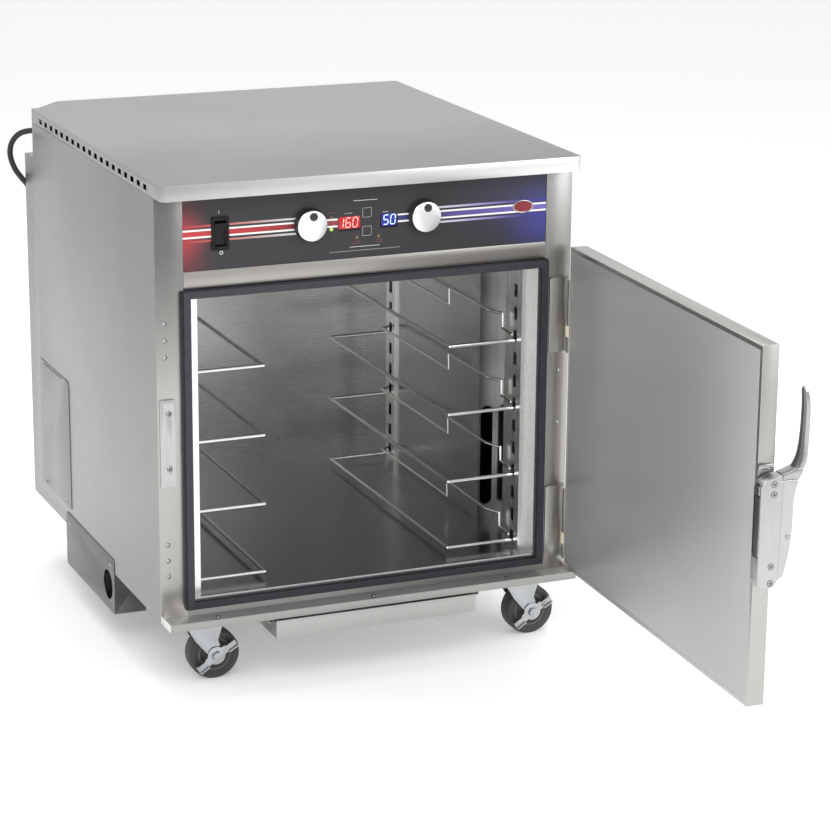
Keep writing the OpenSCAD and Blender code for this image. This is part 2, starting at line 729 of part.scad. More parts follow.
module body_screws() color("silver") placed() {
  plugs = [76, 102, 128, 430.5, 457.5, 484];
  heads_front(-0.02, [for (z = plugs) [13.2, body_base + z]], 4);
  heads_front(-0.02, [for (z = [257, 345]) [cabinet_width - 15, body_base + z]], 4);
  heads_front(-2.22, [for (z = [253.5, 342.5]) [17.2, body_base + z]], 4.4);
  heads_left(-1.22, [[655, body_base + 40.5], [525, body_base + 40], [272, body_base + 9],
    [510, body_base + 8]], 4);
  for (x = [88, 352, 588]) translate([x, -19, sill_floor + 0.02]) dome_head(4, 2.2);
  translate([20, cabinet_depth - 36, ledge_level + 0.02]) dome_head(4, 2.2);
  for (z = [nose_base + 3, nose_base - 20]) translate([6, bay_flange_y + 0.02, z])
    rotate([-90, 0, 0]) dome_head(4, 2.2);
  for (x = [90, 230, 370, 510, 650], z = [ledge_level - 14, ledge_level + 10, body_base + 14])
    translate([x, cabinet_depth + 0.02, z]) rotate([-90, 0, 0]) dome_head(4, 2.2);
}

module drip_tray() color(steel) placed() difference() {
  union() {
    block([tray_x[0], tray_front, tray_base], [tray_x[1], tray_front + tray_depth, tray_flange_top]);
    block([tray_x[0] - tray_flange, -28, tray_flange_top - sheet],
      [tray_x[1] + tray_flange, tray_front + tray_depth, tray_flange_top]);
    block([tray_x[0], tray_front, tray_base], [tray_x[1], tray_front + sheet, body_base - 6]);
  }
  block([tray_x[0] + sheet, tray_front + sheet, tray_base + sheet],
    [tray_x[1] - sheet, tray_front + tray_depth - sheet, body_base]);
}

module service_box() color(steel) placed() difference() {
  union() {
    translate([0, (box_y[0] + box_y[1]) / 2, (box_base + body_base + 24) / 2])
      side_plate(-sheet, sheet - 0.02)
        rounded_square([box_y[1] - box_y[0], body_base + 24 - box_base], 6);
    difference() {
      block([-0.5, box_y[0] + 1, box_base + 0.5], [box_width, box_y[1] - 1, body_base - 0.1]);
      block([0.5, box_y[0] + 1 + sheet, box_base + 0.5 + sheet],
        [box_width - sheet, box_y[1] - 1 - sheet, body_base + 1]);
    }
  }
  translate([-5, box_hole[0], box_hole[1]]) rotate([0, 90, 0]) cylinder(r = 25, h = 10);
  block([-0.02, box_y[0], body_base - 0.1], [1, box_y[1], body_base + 30]);
}

module access_cover() color(steel) placed() side_plate(-sheet, sheet - 0.02) {
  corner = 12;
  difference() {
    union() {
      block_2d([cover_y[0], cover_z[0]], [cover_y[1], cover_z[1] - corner]);
      block_2d([cover_y[0] + corner, cover_z[0]], [cover_y[1], cover_z[1]]);
      translate([cover_y[0] + corner, cover_z[1] - corner]) circle(corner);
    }
    // Slot where the lifted lip of the side panel engages
    block_2d([cover_y[0] + 42, cover_z[1] - 5], [cover_y[1] - 24, cover_z[1] - 2.5]);
  }
}

// ---- casters ----

module caster_mounts() color(steel) placed() {
  for (x = [caster_x, cabinet_width - caster_x]) {
    translate([x, caster_front_y, 0]) {
      block([-46, -32, plate_top - 3], [46, 32, plate_top]);
      translate([0, 0, fork_top + 0.3]) cylinder(r = 25, h = plate_top - 3 - fork_top);
      translate([0, 0, fork_top - 13]) cylinder(r = 5, h = 14);
      translate([0, 0, fork_top - 13]) cylinder(r = 9, h = 5.2);
    }
    translate([x, caster_rear_y, 0]) rigid_frame();
  }
}

module rigid_frame() {
  block([-32, -46, plate_top - 3], [32, 46, plate_top]);
  for (side = [-1, 1]) translate([side * (fork_gap + fork_sheet / 2) - fork_sheet / 2, 0, 0])
    side_plate(0, fork_sheet) fork_leg(-36, 36, plate_top - 1);
  translate([-fork_gap - 9, 0, wheel_radius]) rotate([0, 90, 0])
    cylinder(r = axle_radius, h = 2 * fork_gap + 18);
  for (x = [-fork_gap - 10, fork_gap + fork_sheet + 1]) translate([x, 0, wheel_radius])
    rotate([0, 90, 0]) cylinder(r = 7.5, h = 6, $fn = 6);
}

// Leg of a fork: wide under the plate, round at the axle, which is at the outline's X = 0
module fork_leg(low_x, high_x, top) difference() {
  union() {
    polygon([[low_x, top], [high_x, top], [high_x - 12, wheel_radius + 26],
      [11.5, wheel_radius], [-11.5, wheel_radius], [low_x + 22, wheel_radius + 26]]);
    translate([0, wheel_radius]) circle(12);
  }
}

// Swivel fork with its axle bolt; the wheel trails towards +X
module caster_fork(x) placed() translate([x, caster_front_y, 0]) {
  difference() {
    union() {
      translate([0, 0, fork_top - 7]) cylinder(r = 27, h = 7);
      block([-20, -fork_gap - fork_sheet, fork_top - 7], [caster_trail + 16,
        fork_gap + fork_sheet, fork_top - 4]);
    }
    cylinder(r = 5 + bearing_play, h = 200);
  }
  for (side = [-1, 1]) translate([caster_trail, side * (fork_gap + fork_sheet / 2), 0])
    upright_plate(-fork_sheet / 2, fork_sheet)
      fork_leg(-caster_trail - 20, 16, fork_top - 5);
  translate([caster_trail, 0, wheel_radius]) rotate([90, 0, 0]) {
    translate([0, 0, -fork_gap - 9]) cylinder(r = axle_radius, h = 2 * fork_gap + 21);
    translate([0, 0, fork_gap + fork_sheet + 4.2]) cylinder(r = 7.5, h = 5, $fn = 6);
    translate([0, 0, -fork_gap - fork_sheet - 6]) cylinder(r = 7.5, h = 6, $fn = 6);
  }
}

module caster_fork_left() color(steel) caster_fork(caster_x);

module caster_fork_right() color(steel) caster_fork(cabinet_width - caster_x);

// Stamped side brake: a disc round the axle with a wing up to the right and one down to the left
module brake(x) placed()
  translate([x + caster_trail, caster_front_y - fork_gap - fork_sheet - 3.6, wheel_radius])
  difference() {
    union() {
      upright_plate(0, 3) {
        circle(15);
        for (turn = [31, 215]) rotate(turn) translate([0, -7]) square([38, 14]);
      }
      for (turn = [31, 215]) rotate([0, -turn, 0]) {
        block([20, -5, -7], [38, 1, -4.5]);
        block([20, -5, 4.5], [38, 1, 7]);
      }
    }
    rotate([90, 0, 0]) cylinder(r = axle_radius + bearing_play, h = 40, center = true);
  }

module brake_left() color(steel) brake(caster_x);

module brake_right() color(steel) brake(cabinet_width - caster_x);

// Wheel on an axle along Y: soft tread ring round a hard core with a raised hub
module wheel(place, turn) placed() translate([place[0], place[1], wheel_radius])
  rotate([0, 0, turn]) rotate([90, 0, 0]) rotate_extrude($fn = 96) {
    w = wheel_width / 2;
    polygon([[wheel_core_radius, -w + 1], [wheel_radius - 4, -w], [wheel_radius - 0.8, -w + 4],
      [wheel_radius, 0], [wheel_radius - 0.8, w - 4], [wheel_radius - 4, w],
      [wheel_core_radius, w - 1]]);
    polygon([[axle_radius + bearing_play, -w - 1], [11, -w - 1], [12, -w + 4],
      [wheel_core_radius - 4, -w + 4], [wheel_core_radius - 2, -w + 1.2],
      [wheel_core_radius - 0.02, -w + 1.2], [wheel_core_radius - 0.02, w - 1.2],
      [wheel_core_radius - 2, w - 1.2], [wheel_core_radius - 4, w - 4], [12, w - 4],
      [11, w + 1], [axle_radius + bearing_play, w + 1]]);
  }

module wheel_front_left() color("dimgray") wheel([caster_x + caster_trail, caster_front_y], 0);

module wheel_front_right() color("dimgray")
  wheel([cabinet_width - caster_x + caster_trail, caster_front_y], 0);

module wheel_rear_left() color("dimgray") wheel([caster_x, caster_rear_y], 90);

module wheel_rear_right() color("dimgray") wheel([cabinet_width - caster_x, caster_rear_y], 90);

// ---- power cord ----

function unit(v) = v / norm(v);

// A point between the second and third of four route points, on a smooth curve through them
function curve_point(a, b, c, d, t) = 0.5 * (2 * b + (c - a) * t
  + (2 * a - 5 * b + 4 * c - d) * t * t + (3 * b - a - 3 * c + d) * t * t * t);

function smooth_path(p, steps) = let (n = len(p) - 1) concat(
  [for (i = [0 : n - 1], s = [0 : steps - 1])
    curve_point(p[max(i - 1, 0)], p[i], p[i + 1], p[min(i + 2, n)], s / steps)], [p[n]]);

function tangents(p) = let (n = len(p) - 1)
  [for (i = [0 : n]) unit(p[min(i + 1, n)] - p[max(i - 1, 0)])];

// Normals carried along the path without twist
function carried(t, i, normal) = i == len(t) ? [] :
  let (m = unit(normal - (normal * t[i]) * t[i])) concat([m], carried(t, i + 1, m));

module tube(path, radius, sides) {
  t = tangents(path);
  n = carried(t, 0, [0, 0, 1]);
  rings = len(path);
  points = [for (i = [0 : rings - 1], s = [0 : sides - 1]) let (a = 360 * s / sides)
    path[i] + radius * (cos(a) * n[i] + sin(a) * cross(t[i], n[i]))];
  walls = [for (i = [0 : rings - 2], s = [0 : sides - 1]) let (u = (s + 1) % sides)
    [i * sides + s, (i + 1) * sides + s, (i + 1) * sides + u, i * sides + u]];
  ends = [[for (s = [0 : sides - 1]) s],
    [for (s = [0 : sides - 1]) rings * sides - 1 - s]];
  polyhedron(points, concat(walls, ends), convexity = 6);
}

cord_path = smooth_path(cord_route, cord_steps);

function path_length(p) = [for (i = [1 : len(p) - 1]) norm(p[i] - p[i - 1])]
  * [for (i = [1 : len(p) - 1]) 1];

// What the coil holds decides how many layers of turns lie on one another
coil_length = cord_length - path_length(cord_path) - plug_x + cord_route[len(cord_route) - 1][0];
coil_turns = coil_length / (2 * PI * coil_mean_radius);
coil_height = ceil(coil_turns / coil_turns_across) * cord_diameter;

module cord_gland() color("black") placed()
  translate([gland_place[0], gland_place[1], gland_level])
    rotate([0, 0, chamfer_angle]) rotate([-90, 0, 0]) {
      translate([0, 0, -12]) cylinder(r = 9.3, h = 14);
      translate([0, 0, 0.05]) cylinder(r = 13, h = 5);
      translate([0, 0, 4]) cylinder(r1 = 9.5, r2 = 6.5, h = gland_reach - 4);
      translate([0, 0, -10]) cylinder(r = 13, h = 8.7, $fn = 6);
    }

module power_cord() color("black") placed() tube(cord_path, cord_diameter / 2, cord_sides);

module cord_coil() color("black") placed() {
  across = coil_turns_across * cord_diameter;
  radius = cord_diameter / 2;
  lead = cord_route[len(cord_route) - 1];
  translate([coil_centre[0], coil_centre[1], 0]) rotate_extrude($fn = 64)
    translate([coil_mean_radius, coil_height / 2]) rounded_square([across, coil_height], radius - 0.1);
  translate([lead[0] + 0.1, coil_lead_y, lead[2]]) rotate([0, 90, 0])
    cylinder(r = radius, h = coil_centre[0] - lead[0]);
  translate([coil_centre[0], coil_lead_y, coil_end_level]) rotate([0, 90, 0])
    cylinder(r = radius, h = plug_x - 0.1 - coil_centre[0]);
}

module cord_plug() color("black") placed()
  translate([plug_x, coil_lead_y, coil_end_level]) {
    rotate([0, 90, 0]) cylinder(r1 = 6.5, r2 = 9, h = 25);
    block([24, -14, 0.2 - coil_end_level], [54, 14, 12.5]);
    for (y = [-6.4, 6.4]) block([53, y - 0.8, -1.2], [71, y + 0.8, 5]);
    translate([53, 0, -7]) rotate([0, 90, 0]) cylinder(r = 2.4, h = 20);
  }

// ---- door, drawn open about its hinge ----

module door_outer_skin() color(steel) on_door() difference() {
  block([door_free_edge, door_outer_y, door_base],
    [door_hinge_edge, door_inner_y - 1.05, door_base + door_height]);
  block([door_free_edge + sheet, door_outer_y + sheet, door_base + sheet],
    [door_hinge_edge - sheet, door_inner_y, door_base + door_height - sheet]);
}

module door_inner_pan() color(liner_steel) on_door()
  block([door_free_edge, door_inner_y - 1, door_base],
    [door_hinge_edge, door_inner_y, door_base + door_height]);

module door_insulation() color("khaki") on_door()
  block([door_free_edge + sheet + 0.2, door_outer_y + sheet + 0.2, door_base + sheet + 0.2],
    [door_hinge_edge - sheet - 0.2, door_inner_y - 1.3, door_base + door_height - sheet - 0.2]);

// The latch's outline in depth and height, from the door's inner face outwards
module latch_outline() {
  deep = door_inner_y;
  polygon([[deep + latch_boss, latch_base + 12], [deep, latch_base], [deep - 15, latch_base],
    [deep - 25, latch_base + 3], [deep - 34, latch_base + 11], [deep - 41, latch_base + 21],
    [deep - 47, latch_base + 72], [deep - 48, latch_base + 116],
    [deep - 48.5, latch_base + latch_height - 6], [deep - 44, latch_base + latch_height],
    [deep, latch_base + latch_height], [deep + latch_boss, latch_base + latch_height - 10]]);
}

module latch_body() color("silver") on_door() difference() {
  side_plate(0, door_free_edge - 0.05) latch_outline();
  // Slot that the lever swings in, open outwards and upwards
  block([lever_x[0] - 1, door_inner_y - 80, latch_pivot[1] - 14],
    [lever_x[1] + 1, latch_pivot[0] + 13, latch_base + latch_height + 5]);
  // Pocket for the magnet, and the spring plunger's recess above it
  block([5, door_inner_y, latch_base + 49], [20.5, door_inner_y + 10, latch_base + 136]);
  block([6, door_inner_y + 2, latch_base + 138], [20, door_inner_y + 10, latch_base + 156]);
  translate([-1, latch_pivot[0], latch_pivot[1]]) rotate([0, 90, 0])
    cylinder(r = latch_pin_radius + 0.02, h = 26);
}

module latch_magnet() color("dimgray") on_door()
  block([5.2, door_inner_y + 0.1, latch_base + 49.2],
    [20.3, door_inner_y + latch_boss, latch_base + 135.8]);

module latch_fixings() color("silver") on_door() {
  translate([-0.8, latch_pivot[0], latch_pivot[1]]) rotate([0, 90, 0]) {
    cylinder(r = latch_pin_radius, h = 25);
    cylinder(r = latch_pin_radius + 1.5, h = 0.78);
  }
  for (z = [214, 239, 346, 362]) translate([-0.02, door_inner_y - 14.5, body_base + z])
    rotate([0, -90, 0]) dome_head(4.6, 1.4);
}

// Lever: a round eye on the pin, an arm up through the slot, then out and up to the grip's tip
module latch_lever() color("silver") on_door() difference() {
  thick = lever_x[1] - lever_x[0];
  deep = door_inner_y;
  union() {
    translate([lever_x[0], latch_pivot[0], latch_pivot[1]]) rotate([0, 90, 0])
      cylinder(r = 9, h = thick);
    side_plate(lever_x[0], thick)
      polygon([[latch_pivot[0] + 6, latch_pivot[1] + 5], [latch_pivot[0] - 6, latch_pivot[1] + 5],
        [deep - 50, latch_base + 140], [deep - 58, latch_base + 165],
        [deep - 66, latch_base + 174], [deep - 71, latch_base + 190],
        [deep - 71, latch_base + 235], [deep - 68, latch_base + 284],
        [deep - 62, latch_base + 292], [deep - 56, latch_base + 290],
        [deep - 58, latch_base + 230], [deep - 56, latch_base + 196],
        [deep - 48, latch_base + 182], [deep - 38, latch_base + 174],
        [deep - 30, latch_base + 160]]);
  }
  translate([0, latch_pivot[0], latch_pivot[1]]) rotate([0, 90, 0])
    cylinder(r = latch_pin_radius + bearing_play, h = 30);
}

side_panel_left();
side_panel_right();
rear_panel();
control_bay_back();
top_panel();
front_frame();
sill_trough();
base_pan();
control_deck();
cavity_liner();
insulation();
control_plate();
control_overlay();
displays();
indicator_lights();
switch_bezel();
control_electronics();
air_heater();
blower_motor();
fan_wheel();
ceiling_plenum();
humidity_boiler();
air_ducts();
slide_uprights();
slides_left();
slides_right();
door_gasket();
strike_plate();
hinge_frame_leaves();
hinge_bushings();
body_screws();
drip_tray();
service_box();
access_cover();
caster_mounts();
cord_gland();
power_cord();
cord_coil();
cord_plug();
door_outer_skin();
door_inner_pan();
door_insulation();
hinge_door_leaves();
latch_body();
latch_magnet();
latch_fixings();
latch_lever();
knob_temperature();
knob_humidity();
power_rocker();
key_upper();
key_lower();
caster_fork_left();
caster_fork_right();
brake_left();
brake_right();
wheel_front_left();
wheel_front_right();
wheel_rear_left();
wheel_rear_right();
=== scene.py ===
import json
import math

import bmesh
import bpy
from mathutils import Matrix, Vector

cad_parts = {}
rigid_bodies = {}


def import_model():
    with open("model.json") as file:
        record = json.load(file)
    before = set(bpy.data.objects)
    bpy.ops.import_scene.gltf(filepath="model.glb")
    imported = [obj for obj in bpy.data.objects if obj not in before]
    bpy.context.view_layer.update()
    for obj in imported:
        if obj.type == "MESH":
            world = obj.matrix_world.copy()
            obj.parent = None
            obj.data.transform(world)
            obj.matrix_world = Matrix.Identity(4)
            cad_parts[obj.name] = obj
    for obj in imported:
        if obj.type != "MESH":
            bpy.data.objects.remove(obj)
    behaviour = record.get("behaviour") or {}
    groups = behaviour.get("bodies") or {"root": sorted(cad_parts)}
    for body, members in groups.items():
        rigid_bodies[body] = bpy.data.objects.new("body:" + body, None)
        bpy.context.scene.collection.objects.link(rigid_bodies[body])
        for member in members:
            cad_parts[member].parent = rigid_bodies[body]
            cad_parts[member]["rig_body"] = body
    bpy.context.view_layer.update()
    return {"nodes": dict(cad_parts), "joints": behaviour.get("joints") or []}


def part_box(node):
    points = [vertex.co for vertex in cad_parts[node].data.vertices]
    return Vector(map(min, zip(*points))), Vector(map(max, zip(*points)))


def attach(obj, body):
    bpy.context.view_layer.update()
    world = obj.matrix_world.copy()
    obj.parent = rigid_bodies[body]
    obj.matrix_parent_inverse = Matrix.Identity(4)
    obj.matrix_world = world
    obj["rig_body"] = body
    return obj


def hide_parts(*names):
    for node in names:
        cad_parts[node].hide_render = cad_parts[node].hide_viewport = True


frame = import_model()
nodes = frame["nodes"]
joints = {joint["name"]: joint for joint in frame["joints"]}

# Places on the cabinet are in metres from its lower front left corner, seen from the front
corner = Vector((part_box("side_panel_left")[0].x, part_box("front_frame")[0].y, 0.0))
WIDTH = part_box("top_panel")[1].x - corner.x
BODY_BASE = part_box("side_panel_left")[0].z

DOOR_OPEN = math.radians(88)
hinge = Vector(joints["door_hinge"]["pos_m"])
on_cabinet = Matrix.Translation(corner)
on_door = (Matrix.Translation(hinge) @ Matrix.Rotation(DOOR_OPEN, 4, "Z")
           @ Matrix.Translation(-hinge) @ on_cabinet)

# Turn a shape made along Z so that it points out of the front, or out of the left side
TO_FRONT = Matrix.Rotation(math.pi / 2, 4, "X")
TO_LEFT = Matrix.Rotation(-math.pi / 2, 4, "Y")


def placed(name, data):
    """A new object in the scene."""
    made = bpy.data.objects.new(name, data)
    bpy.context.scene.collection.objects.link(made)
    return made


# ---- camera ----

LENS_MM = 121.1
SENSOR_MM = 36.0
CAMERA_PLACE = (-1.6115, -3.9690, 1.6701)
YAW, PITCH, ROLL = (math.radians(a) for a in (22.965, 16.217, 0.488))


def make_camera():
    """Looks at the cabinet from the front left and above, as the photo does."""
    data = bpy.data.cameras.new("camera")
    data.lens = LENS_MM
    data.sensor_width = SENSOR_MM
    data.clip_end = 100.0
    camera = placed("camera", data)
    camera.location = CAMERA_PLACE
    camera.rotation_euler = (
        Matrix.Rotation(-YAW, 3, "Z")
        @ Matrix.Rotation(math.pi / 2 - PITCH, 3, "X")
        @ Matrix.Rotation(ROLL, 3, "Z")
    ).to_euler()
    bpy.context.scene.camera = camera


make_camera()


# ---- materials ----

# The part of a noise texture's range that a colour or a roughness is spread over
NOISE_LOW, NOISE_HIGH = 0.3, 0.7


def new_material(name, color, roughness, metallic=0.0, **sockets):
    material = bpy.data.materials.new(name)
    material.use_nodes = True
    shader = material.node_tree.nodes["Principled BSDF"]
    shader.inputs["Base Color"].default_value = (*color, 1.0)
    shader.inputs["Roughness"].default_value = roughness
    shader.inputs["Metallic"].default_value = metallic
    for socket, value in sockets.items():
        shader.inputs[socket.replace("_", " ")].default_value = value
    return material


def node_of(material, kind, inputs=None, **settings):
    """A new shader node with its settings and its constant inputs."""
    made = material.node_tree.nodes.new(kind)
    for key, value in settings.items():
        setattr(made, key, value)
    for socket, value in (inputs or {}).items():
        made.inputs[socket].default_value = value
    return made


def join(material, out_node, out, in_node, socket):
    material.node_tree.links.new(out_node.outputs[out], in_node.inputs[socket])


def shader_of(material):
    return material.node_tree.nodes["Principled BSDF"]


def noise(material, scale, stretch=(1, 1, 1), detail=4.0):
    """Noise over the piece's own coordinates, in metres, stretched along an axis."""
    place = node_of(material, "ShaderNodeTexCoord")
    mapping = node_of(material, "ShaderNodeMapping", {"Scale": [scale * s for s in stretch]})
    texture = node_of(material, "ShaderNodeTexNoise", {"Scale": 1.0, "Detail": detail})
    join(material, place, "Object", mapping, "Vector")
    join(material, mapping, "Vector", texture, "Vector")
    return texture


def vary_roughness(material, texture, low, high):
    spread = node_of(material, "ShaderNodeMapRange", {
        "From Min": NOISE_LOW, "From Max": NOISE_HIGH, "To Min": low, "To Max": high})
    join(material, texture, 0, spread, "Value")
    join(material, spread, "Result", shader_of(material), "Roughness")


def ramp_of(material, stops):
    """A colour ramp through stops, each a position and a colour."""
    ramp = node_of(material, "ShaderNodeValToRGB")
    elements = ramp.color_ramp.elements
    while len(elements) < len(stops):
        elements.new(0.5)
    for element, (position, color) in zip(elements, stops):
        element.position = position
        element.color = (*color, 1.0)
    return ramp


def vary_color(material, texture, dark, light):
    ramp = ramp_of(material, [(NOISE_LOW, dark), (NOISE_HIGH, light)])
    join(material, texture, 0, ramp, "Fac")
    join(material, ramp, "Color", shader_of(material), "Base Color")


def add_bump(material, texture, strength, distance):
    bump = node_of(material, "ShaderNodeBump", {"Strength": strength, "Distance": distance})
    join(material, texture, 0, bump, "Height")
    join(material, bump, "Normal", shader_of(material), "Normal")


def shade(color, factor):
    return tuple(min(1.0, c * factor) for c in color)


def brushed(name, color, roughness, grain, spread=0.03, bump=0.03, metallic=1.0):
    """Brushed sheet: grain is the direction that the brushing runs along."""
    material = new_material(name, color, roughness, metallic)
    stretch = {"x": (0.012, 1, 1), "y": (1, 0.012, 1), "z": (1, 1, 0.012)}[grain]
    lines = noise(material, 900.0, stretch, 3.0)
    cloud = noise(material, 5.0, detail=2.0)
    vary_color(material, cloud, shade(color, 0.96), shade(color, 1.03))
    vary_roughness(material, lines, roughness - spread, roughness + spread)
    add_bump(material, lines, bump, 0.0001)
    return material


def ramp_over(material, axis, stops, low, high):
    """Base colours along the cabinet's width (X) or height (Z), from low to high."""
    place = node_of(material, "ShaderNodeTexCoord")
    split = node_of(material, "ShaderNodeSeparateXYZ")
    start = corner.x if axis == "X" else corner.z
    share = node_of(material, "ShaderNodeMapRange", {"From Min": start + low, "From Max": start + high})
    ramp = ramp_of(material, stops)
    join(material, place, "Object", split, "Vector")
    join(material, split, axis, share, "Value")
    join(material, share, "Result", ramp, "Fac")
    join(material, ramp, "Color", shader_of(material), "Base Color")


def grained(name, color, roughness, scale, strength, distance=0.0002, metallic=0.0, contrast=0.12,
            **sockets):
    """Moulded, cast or coated stuff: fine noise in colour, roughness and relief."""
    material = new_material(name, color, roughness, metallic, **sockets)
    fine = noise(material, scale)
    coarse = noise(material, scale / 22)
    vary_color(material, coarse, shade(color, 1 - contrast), shade(color, 1 + contrast))
    vary_roughness(material, fine, roughness - 0.05, roughness + 0.06)
    add_bump(material, fine, strength, distance)
    return material


steel_top = brushed("steel_top", (0.33, 0.33, 0.326), 0.34, "x")
# The nose's forward faces get a brighter copy of the top's steel, rising from the left end to the right end:
# painted light.
steel_nose_painted_light = brushed("steel_nose_painted_light", (0.66, 0.655, 0.65), 0.32, "x")
ramp_over(steel_nose_painted_light, "X", [(0.0, (0.39, 0.39, 0.38)), (0.25, (0.52, 0.515, 0.51)),
                            (1.0, (0.74, 0.735, 0.73))], 0.0, 0.7)
steel_side = brushed("steel_side", (0.305, 0.305, 0.30), 0.34, "y")
steel_front = brushed("steel_front", (0.355, 0.342, 0.325), 0.30, "x")
steel_upright = brushed("steel_upright", (0.40, 0.39, 0.375), 0.30, "z")
# Copies of the upright steel for the two front posts, darker towards their tops under the nose's overhang:
# painted shade, far deeper on the left post.
POST_SHADE_RUN = (0.12, 0.80)
post_left_painted_shade = brushed("post_left_painted_shade", (0.40, 0.39, 0.375), 0.30, "z")
ramp_over(post_left_painted_shade, "Z", [(0.0, (0.41, 0.40, 0.385)), (0.55, (0.42, 0.41, 0.395)),
                           (0.88, (0.19, 0.19, 0.185)), (1.0, (0.17, 0.17, 0.165))], *POST_SHADE_RUN)
post_right_painted_shade = brushed("post_right_painted_shade", (0.40, 0.39, 0.375), 0.30, "z")
ramp_over(post_right_painted_shade, "Z", [(0.0, (0.42, 0.41, 0.395)), (0.55, (0.40, 0.39, 0.375)),
                            (0.85, (0.30, 0.295, 0.285)), (1.0, (0.36, 0.355, 0.35))], *POST_SHADE_RUN)
steel_bright = brushed("steel_bright", (0.46, 0.46, 0.455), 0.26, "z")
# The sill's top wears a brighter copy of the steel and its forward faces a darker copy: painted light on the
# top, painted shade on the front.
sill_top_painted_light = brushed("sill_top_painted_light", (0.72, 0.71, 0.695), 0.34, "x", metallic=0.75)
sill_front_painted_shade = brushed("sill_front_painted_shade", (0.34, 0.335, 0.325), 0.30, "x")
return_steel = brushed("return_steel", (0.56, 0.555, 0.545), 0.30, "z")
tray_steel = brushed("tray_steel", (0.43, 0.425, 0.415), 0.34, "x", metallic=0.75)
steel_cover = brushed("steel_cover", (0.255, 0.255, 0.25), 0.34, "y")
steel_dark = brushed("steel_dark", (0.15, 0.147, 0.141), 0.36, "y", 0.05, 0.05)
liner_steel = brushed("liner_steel", (0.44, 0.435, 0.43), 0.24, "y", 0.02, 0.01)
liner_back = brushed("liner_back", (0.44, 0.435, 0.43), 0.26, "x", 0.02, 0.01)
liner_bright = brushed("liner_bright", (0.80, 0.795, 0.785), 0.28, "z", 0.02, 0.015)
door_steel = brushed("door_steel", (0.45, 0.443, 0.440), 0.36, "z", bump=0.02, metallic=0.55)
door_edge = brushed("door_edge", (0.45, 0.44, 0.42), 0.32, "z")
satin_cast = grained("satin_cast", (0.47, 0.47, 0.475), 0.34, 520.0, 0.10, metallic=1.0, contrast=0.03)
polished_cast = grained("polished_cast", (0.40, 0.40, 0.405), 0.12, 500.0, 0.05, metallic=1.0, contrast=0.03)
# A dark copy of the polished cast metal for the lever grip's flanks: painted shade.
cast_painted_shade = grained("cast_painted_shade", (0.17, 0.17, 0.175), 0.16, 500.0, 0.05, metallic=1.0, contrast=0.03)
screw_steel = grained("screw_steel", (0.36, 0.36, 0.36), 0.20, 500.0, 0.05, metallic=1.0, contrast=0.05)
cast_chrome = grained("cast_chrome", (0.70, 0.70, 0.70), 0.17, 700.0, 0.05, 0.0001, 1.0, 0.03)
wire_nickel = grained("wire_nickel", (0.78, 0.775, 0.76), 0.16, 900.0, 0.06, 0.0001, 1.0, 0.04)
zinc = grained("zinc", (0.44, 0.452, 0.465), 0.22, 420.0, 0.09, metallic=1.0, contrast=0.05)
black_plastic = grained("black_plastic", (0.006, 0.006, 0.007), 0.34, 1600.0, 0.10,
                        Specular_IOR_Level=0.22)
black_knurl = grained("black_skirt", (0.018, 0.018, 0.02), 0.42, 1200.0, 0.10)
cord_rubber = grained("cord_rubber", (0.014, 0.014, 0.015), 0.48, 1500.0, 0.12)
gasket_rubber = grained("gasket_rubber", (0.022, 0.024, 0.031), 0.50, 900.0, 0.14)
nylon = grained("nylon", (0.72, 0.66, 0.50), 0.48, 700.0, 0.10)
tread_rubber = grained("tread_rubber", (0.040, 0.040, 0.036), 0.58, 800.0, 0.22)
core_plastic = grained("core_plastic", (0.085, 0.085, 0.082), 0.44, 700.0, 0.12)
# Black for the latch's magnet, and also for the painted shade in the screws' crosses and the painted shadow
# rings round the latch's screws.
magnet_and_shade_black = grained("magnet_and_shade_black", (0.035, 0.03, 0.03), 0.44, 900.0, 0.12)
wool = grained("wool", (0.55, 0.49, 0.28), 0.95, 260.0, 0.8, 0.002, 0.0, 0.25)
board_green = grained("board_green", (0.03, 0.16, 0.07), 0.45, 700.0, 0.1)
dark_sheath = grained("dark_sheath", (0.10, 0.095, 0.09), 0.42, 500.0, 0.2, 0.0002, 0.8, 0.15)
cast_metal = grained("cast_metal", (0.50, 0.50, 0.50), 0.42, 380.0, 0.3, 0.0003, 1.0, 0.08)


def spun_metal(name, color, centre):
    """Face turned on a lathe: fine rings round its centre, which lies in the X-Z plane."""
    material = new_material(name, color, 0.30, 1.0)
    place = node_of(material, "ShaderNodeTexCoord")
    shift = node_of(material, "ShaderNodeMapping", {
        "Location": (-centre.x, 0, -centre.z), "Scale": (1, 0, 1)})
    rings = node_of(material, "ShaderNodeTexWave", {"Scale": 420.0, "Distortion": 1.5},
                    wave_type="RINGS", rings_direction="SPHERICAL")
    join(material, place, "Object", shift, "Vector")
    join(material, shift, "Vector", rings, "Vector")
    vary_roughness(material, rings, 0.24, 0.36)
    add_bump(material, rings, 0.10, 0.0001)
    return material


# ---- mesh helpers ----

def box(bm, low, high):
    made = bmesh.ops.create_cube(bm, size=1.0)["verts"]
    centre = (Vector(low) + Vector(high)) / 2
    size = Vector(high) - Vector(low)
    for vert in made:
        vert.co = centre + Vector(vert.co[i] * size[i] for i in range(3))


def prism(bm, outline, plane, start, end):
    """A flat outline swept from start to end. plane is "xz" (along Y), "yz" (along X) or "xy"."""
    def place(a, b, depth):
        return {"xz": (a, depth, b), "yz": (depth, a, b), "xy": (a, b, depth)}[plane]
    rings = [[bm.verts.new(place(a, b, depth)) for a, b in outline] for depth in (start, end)]
    count = len(outline)
    faces = [bm.faces.new(rings[0]), bm.faces.new(rings[1][::-1])]
    for i in range(count):
        j = (i + 1) % count
        faces.append(bm.faces.new((rings[0][j], rings[0][i], rings[1][i], rings[1][j])))
    bmesh.ops.recalc_face_normals(bm, faces=faces)


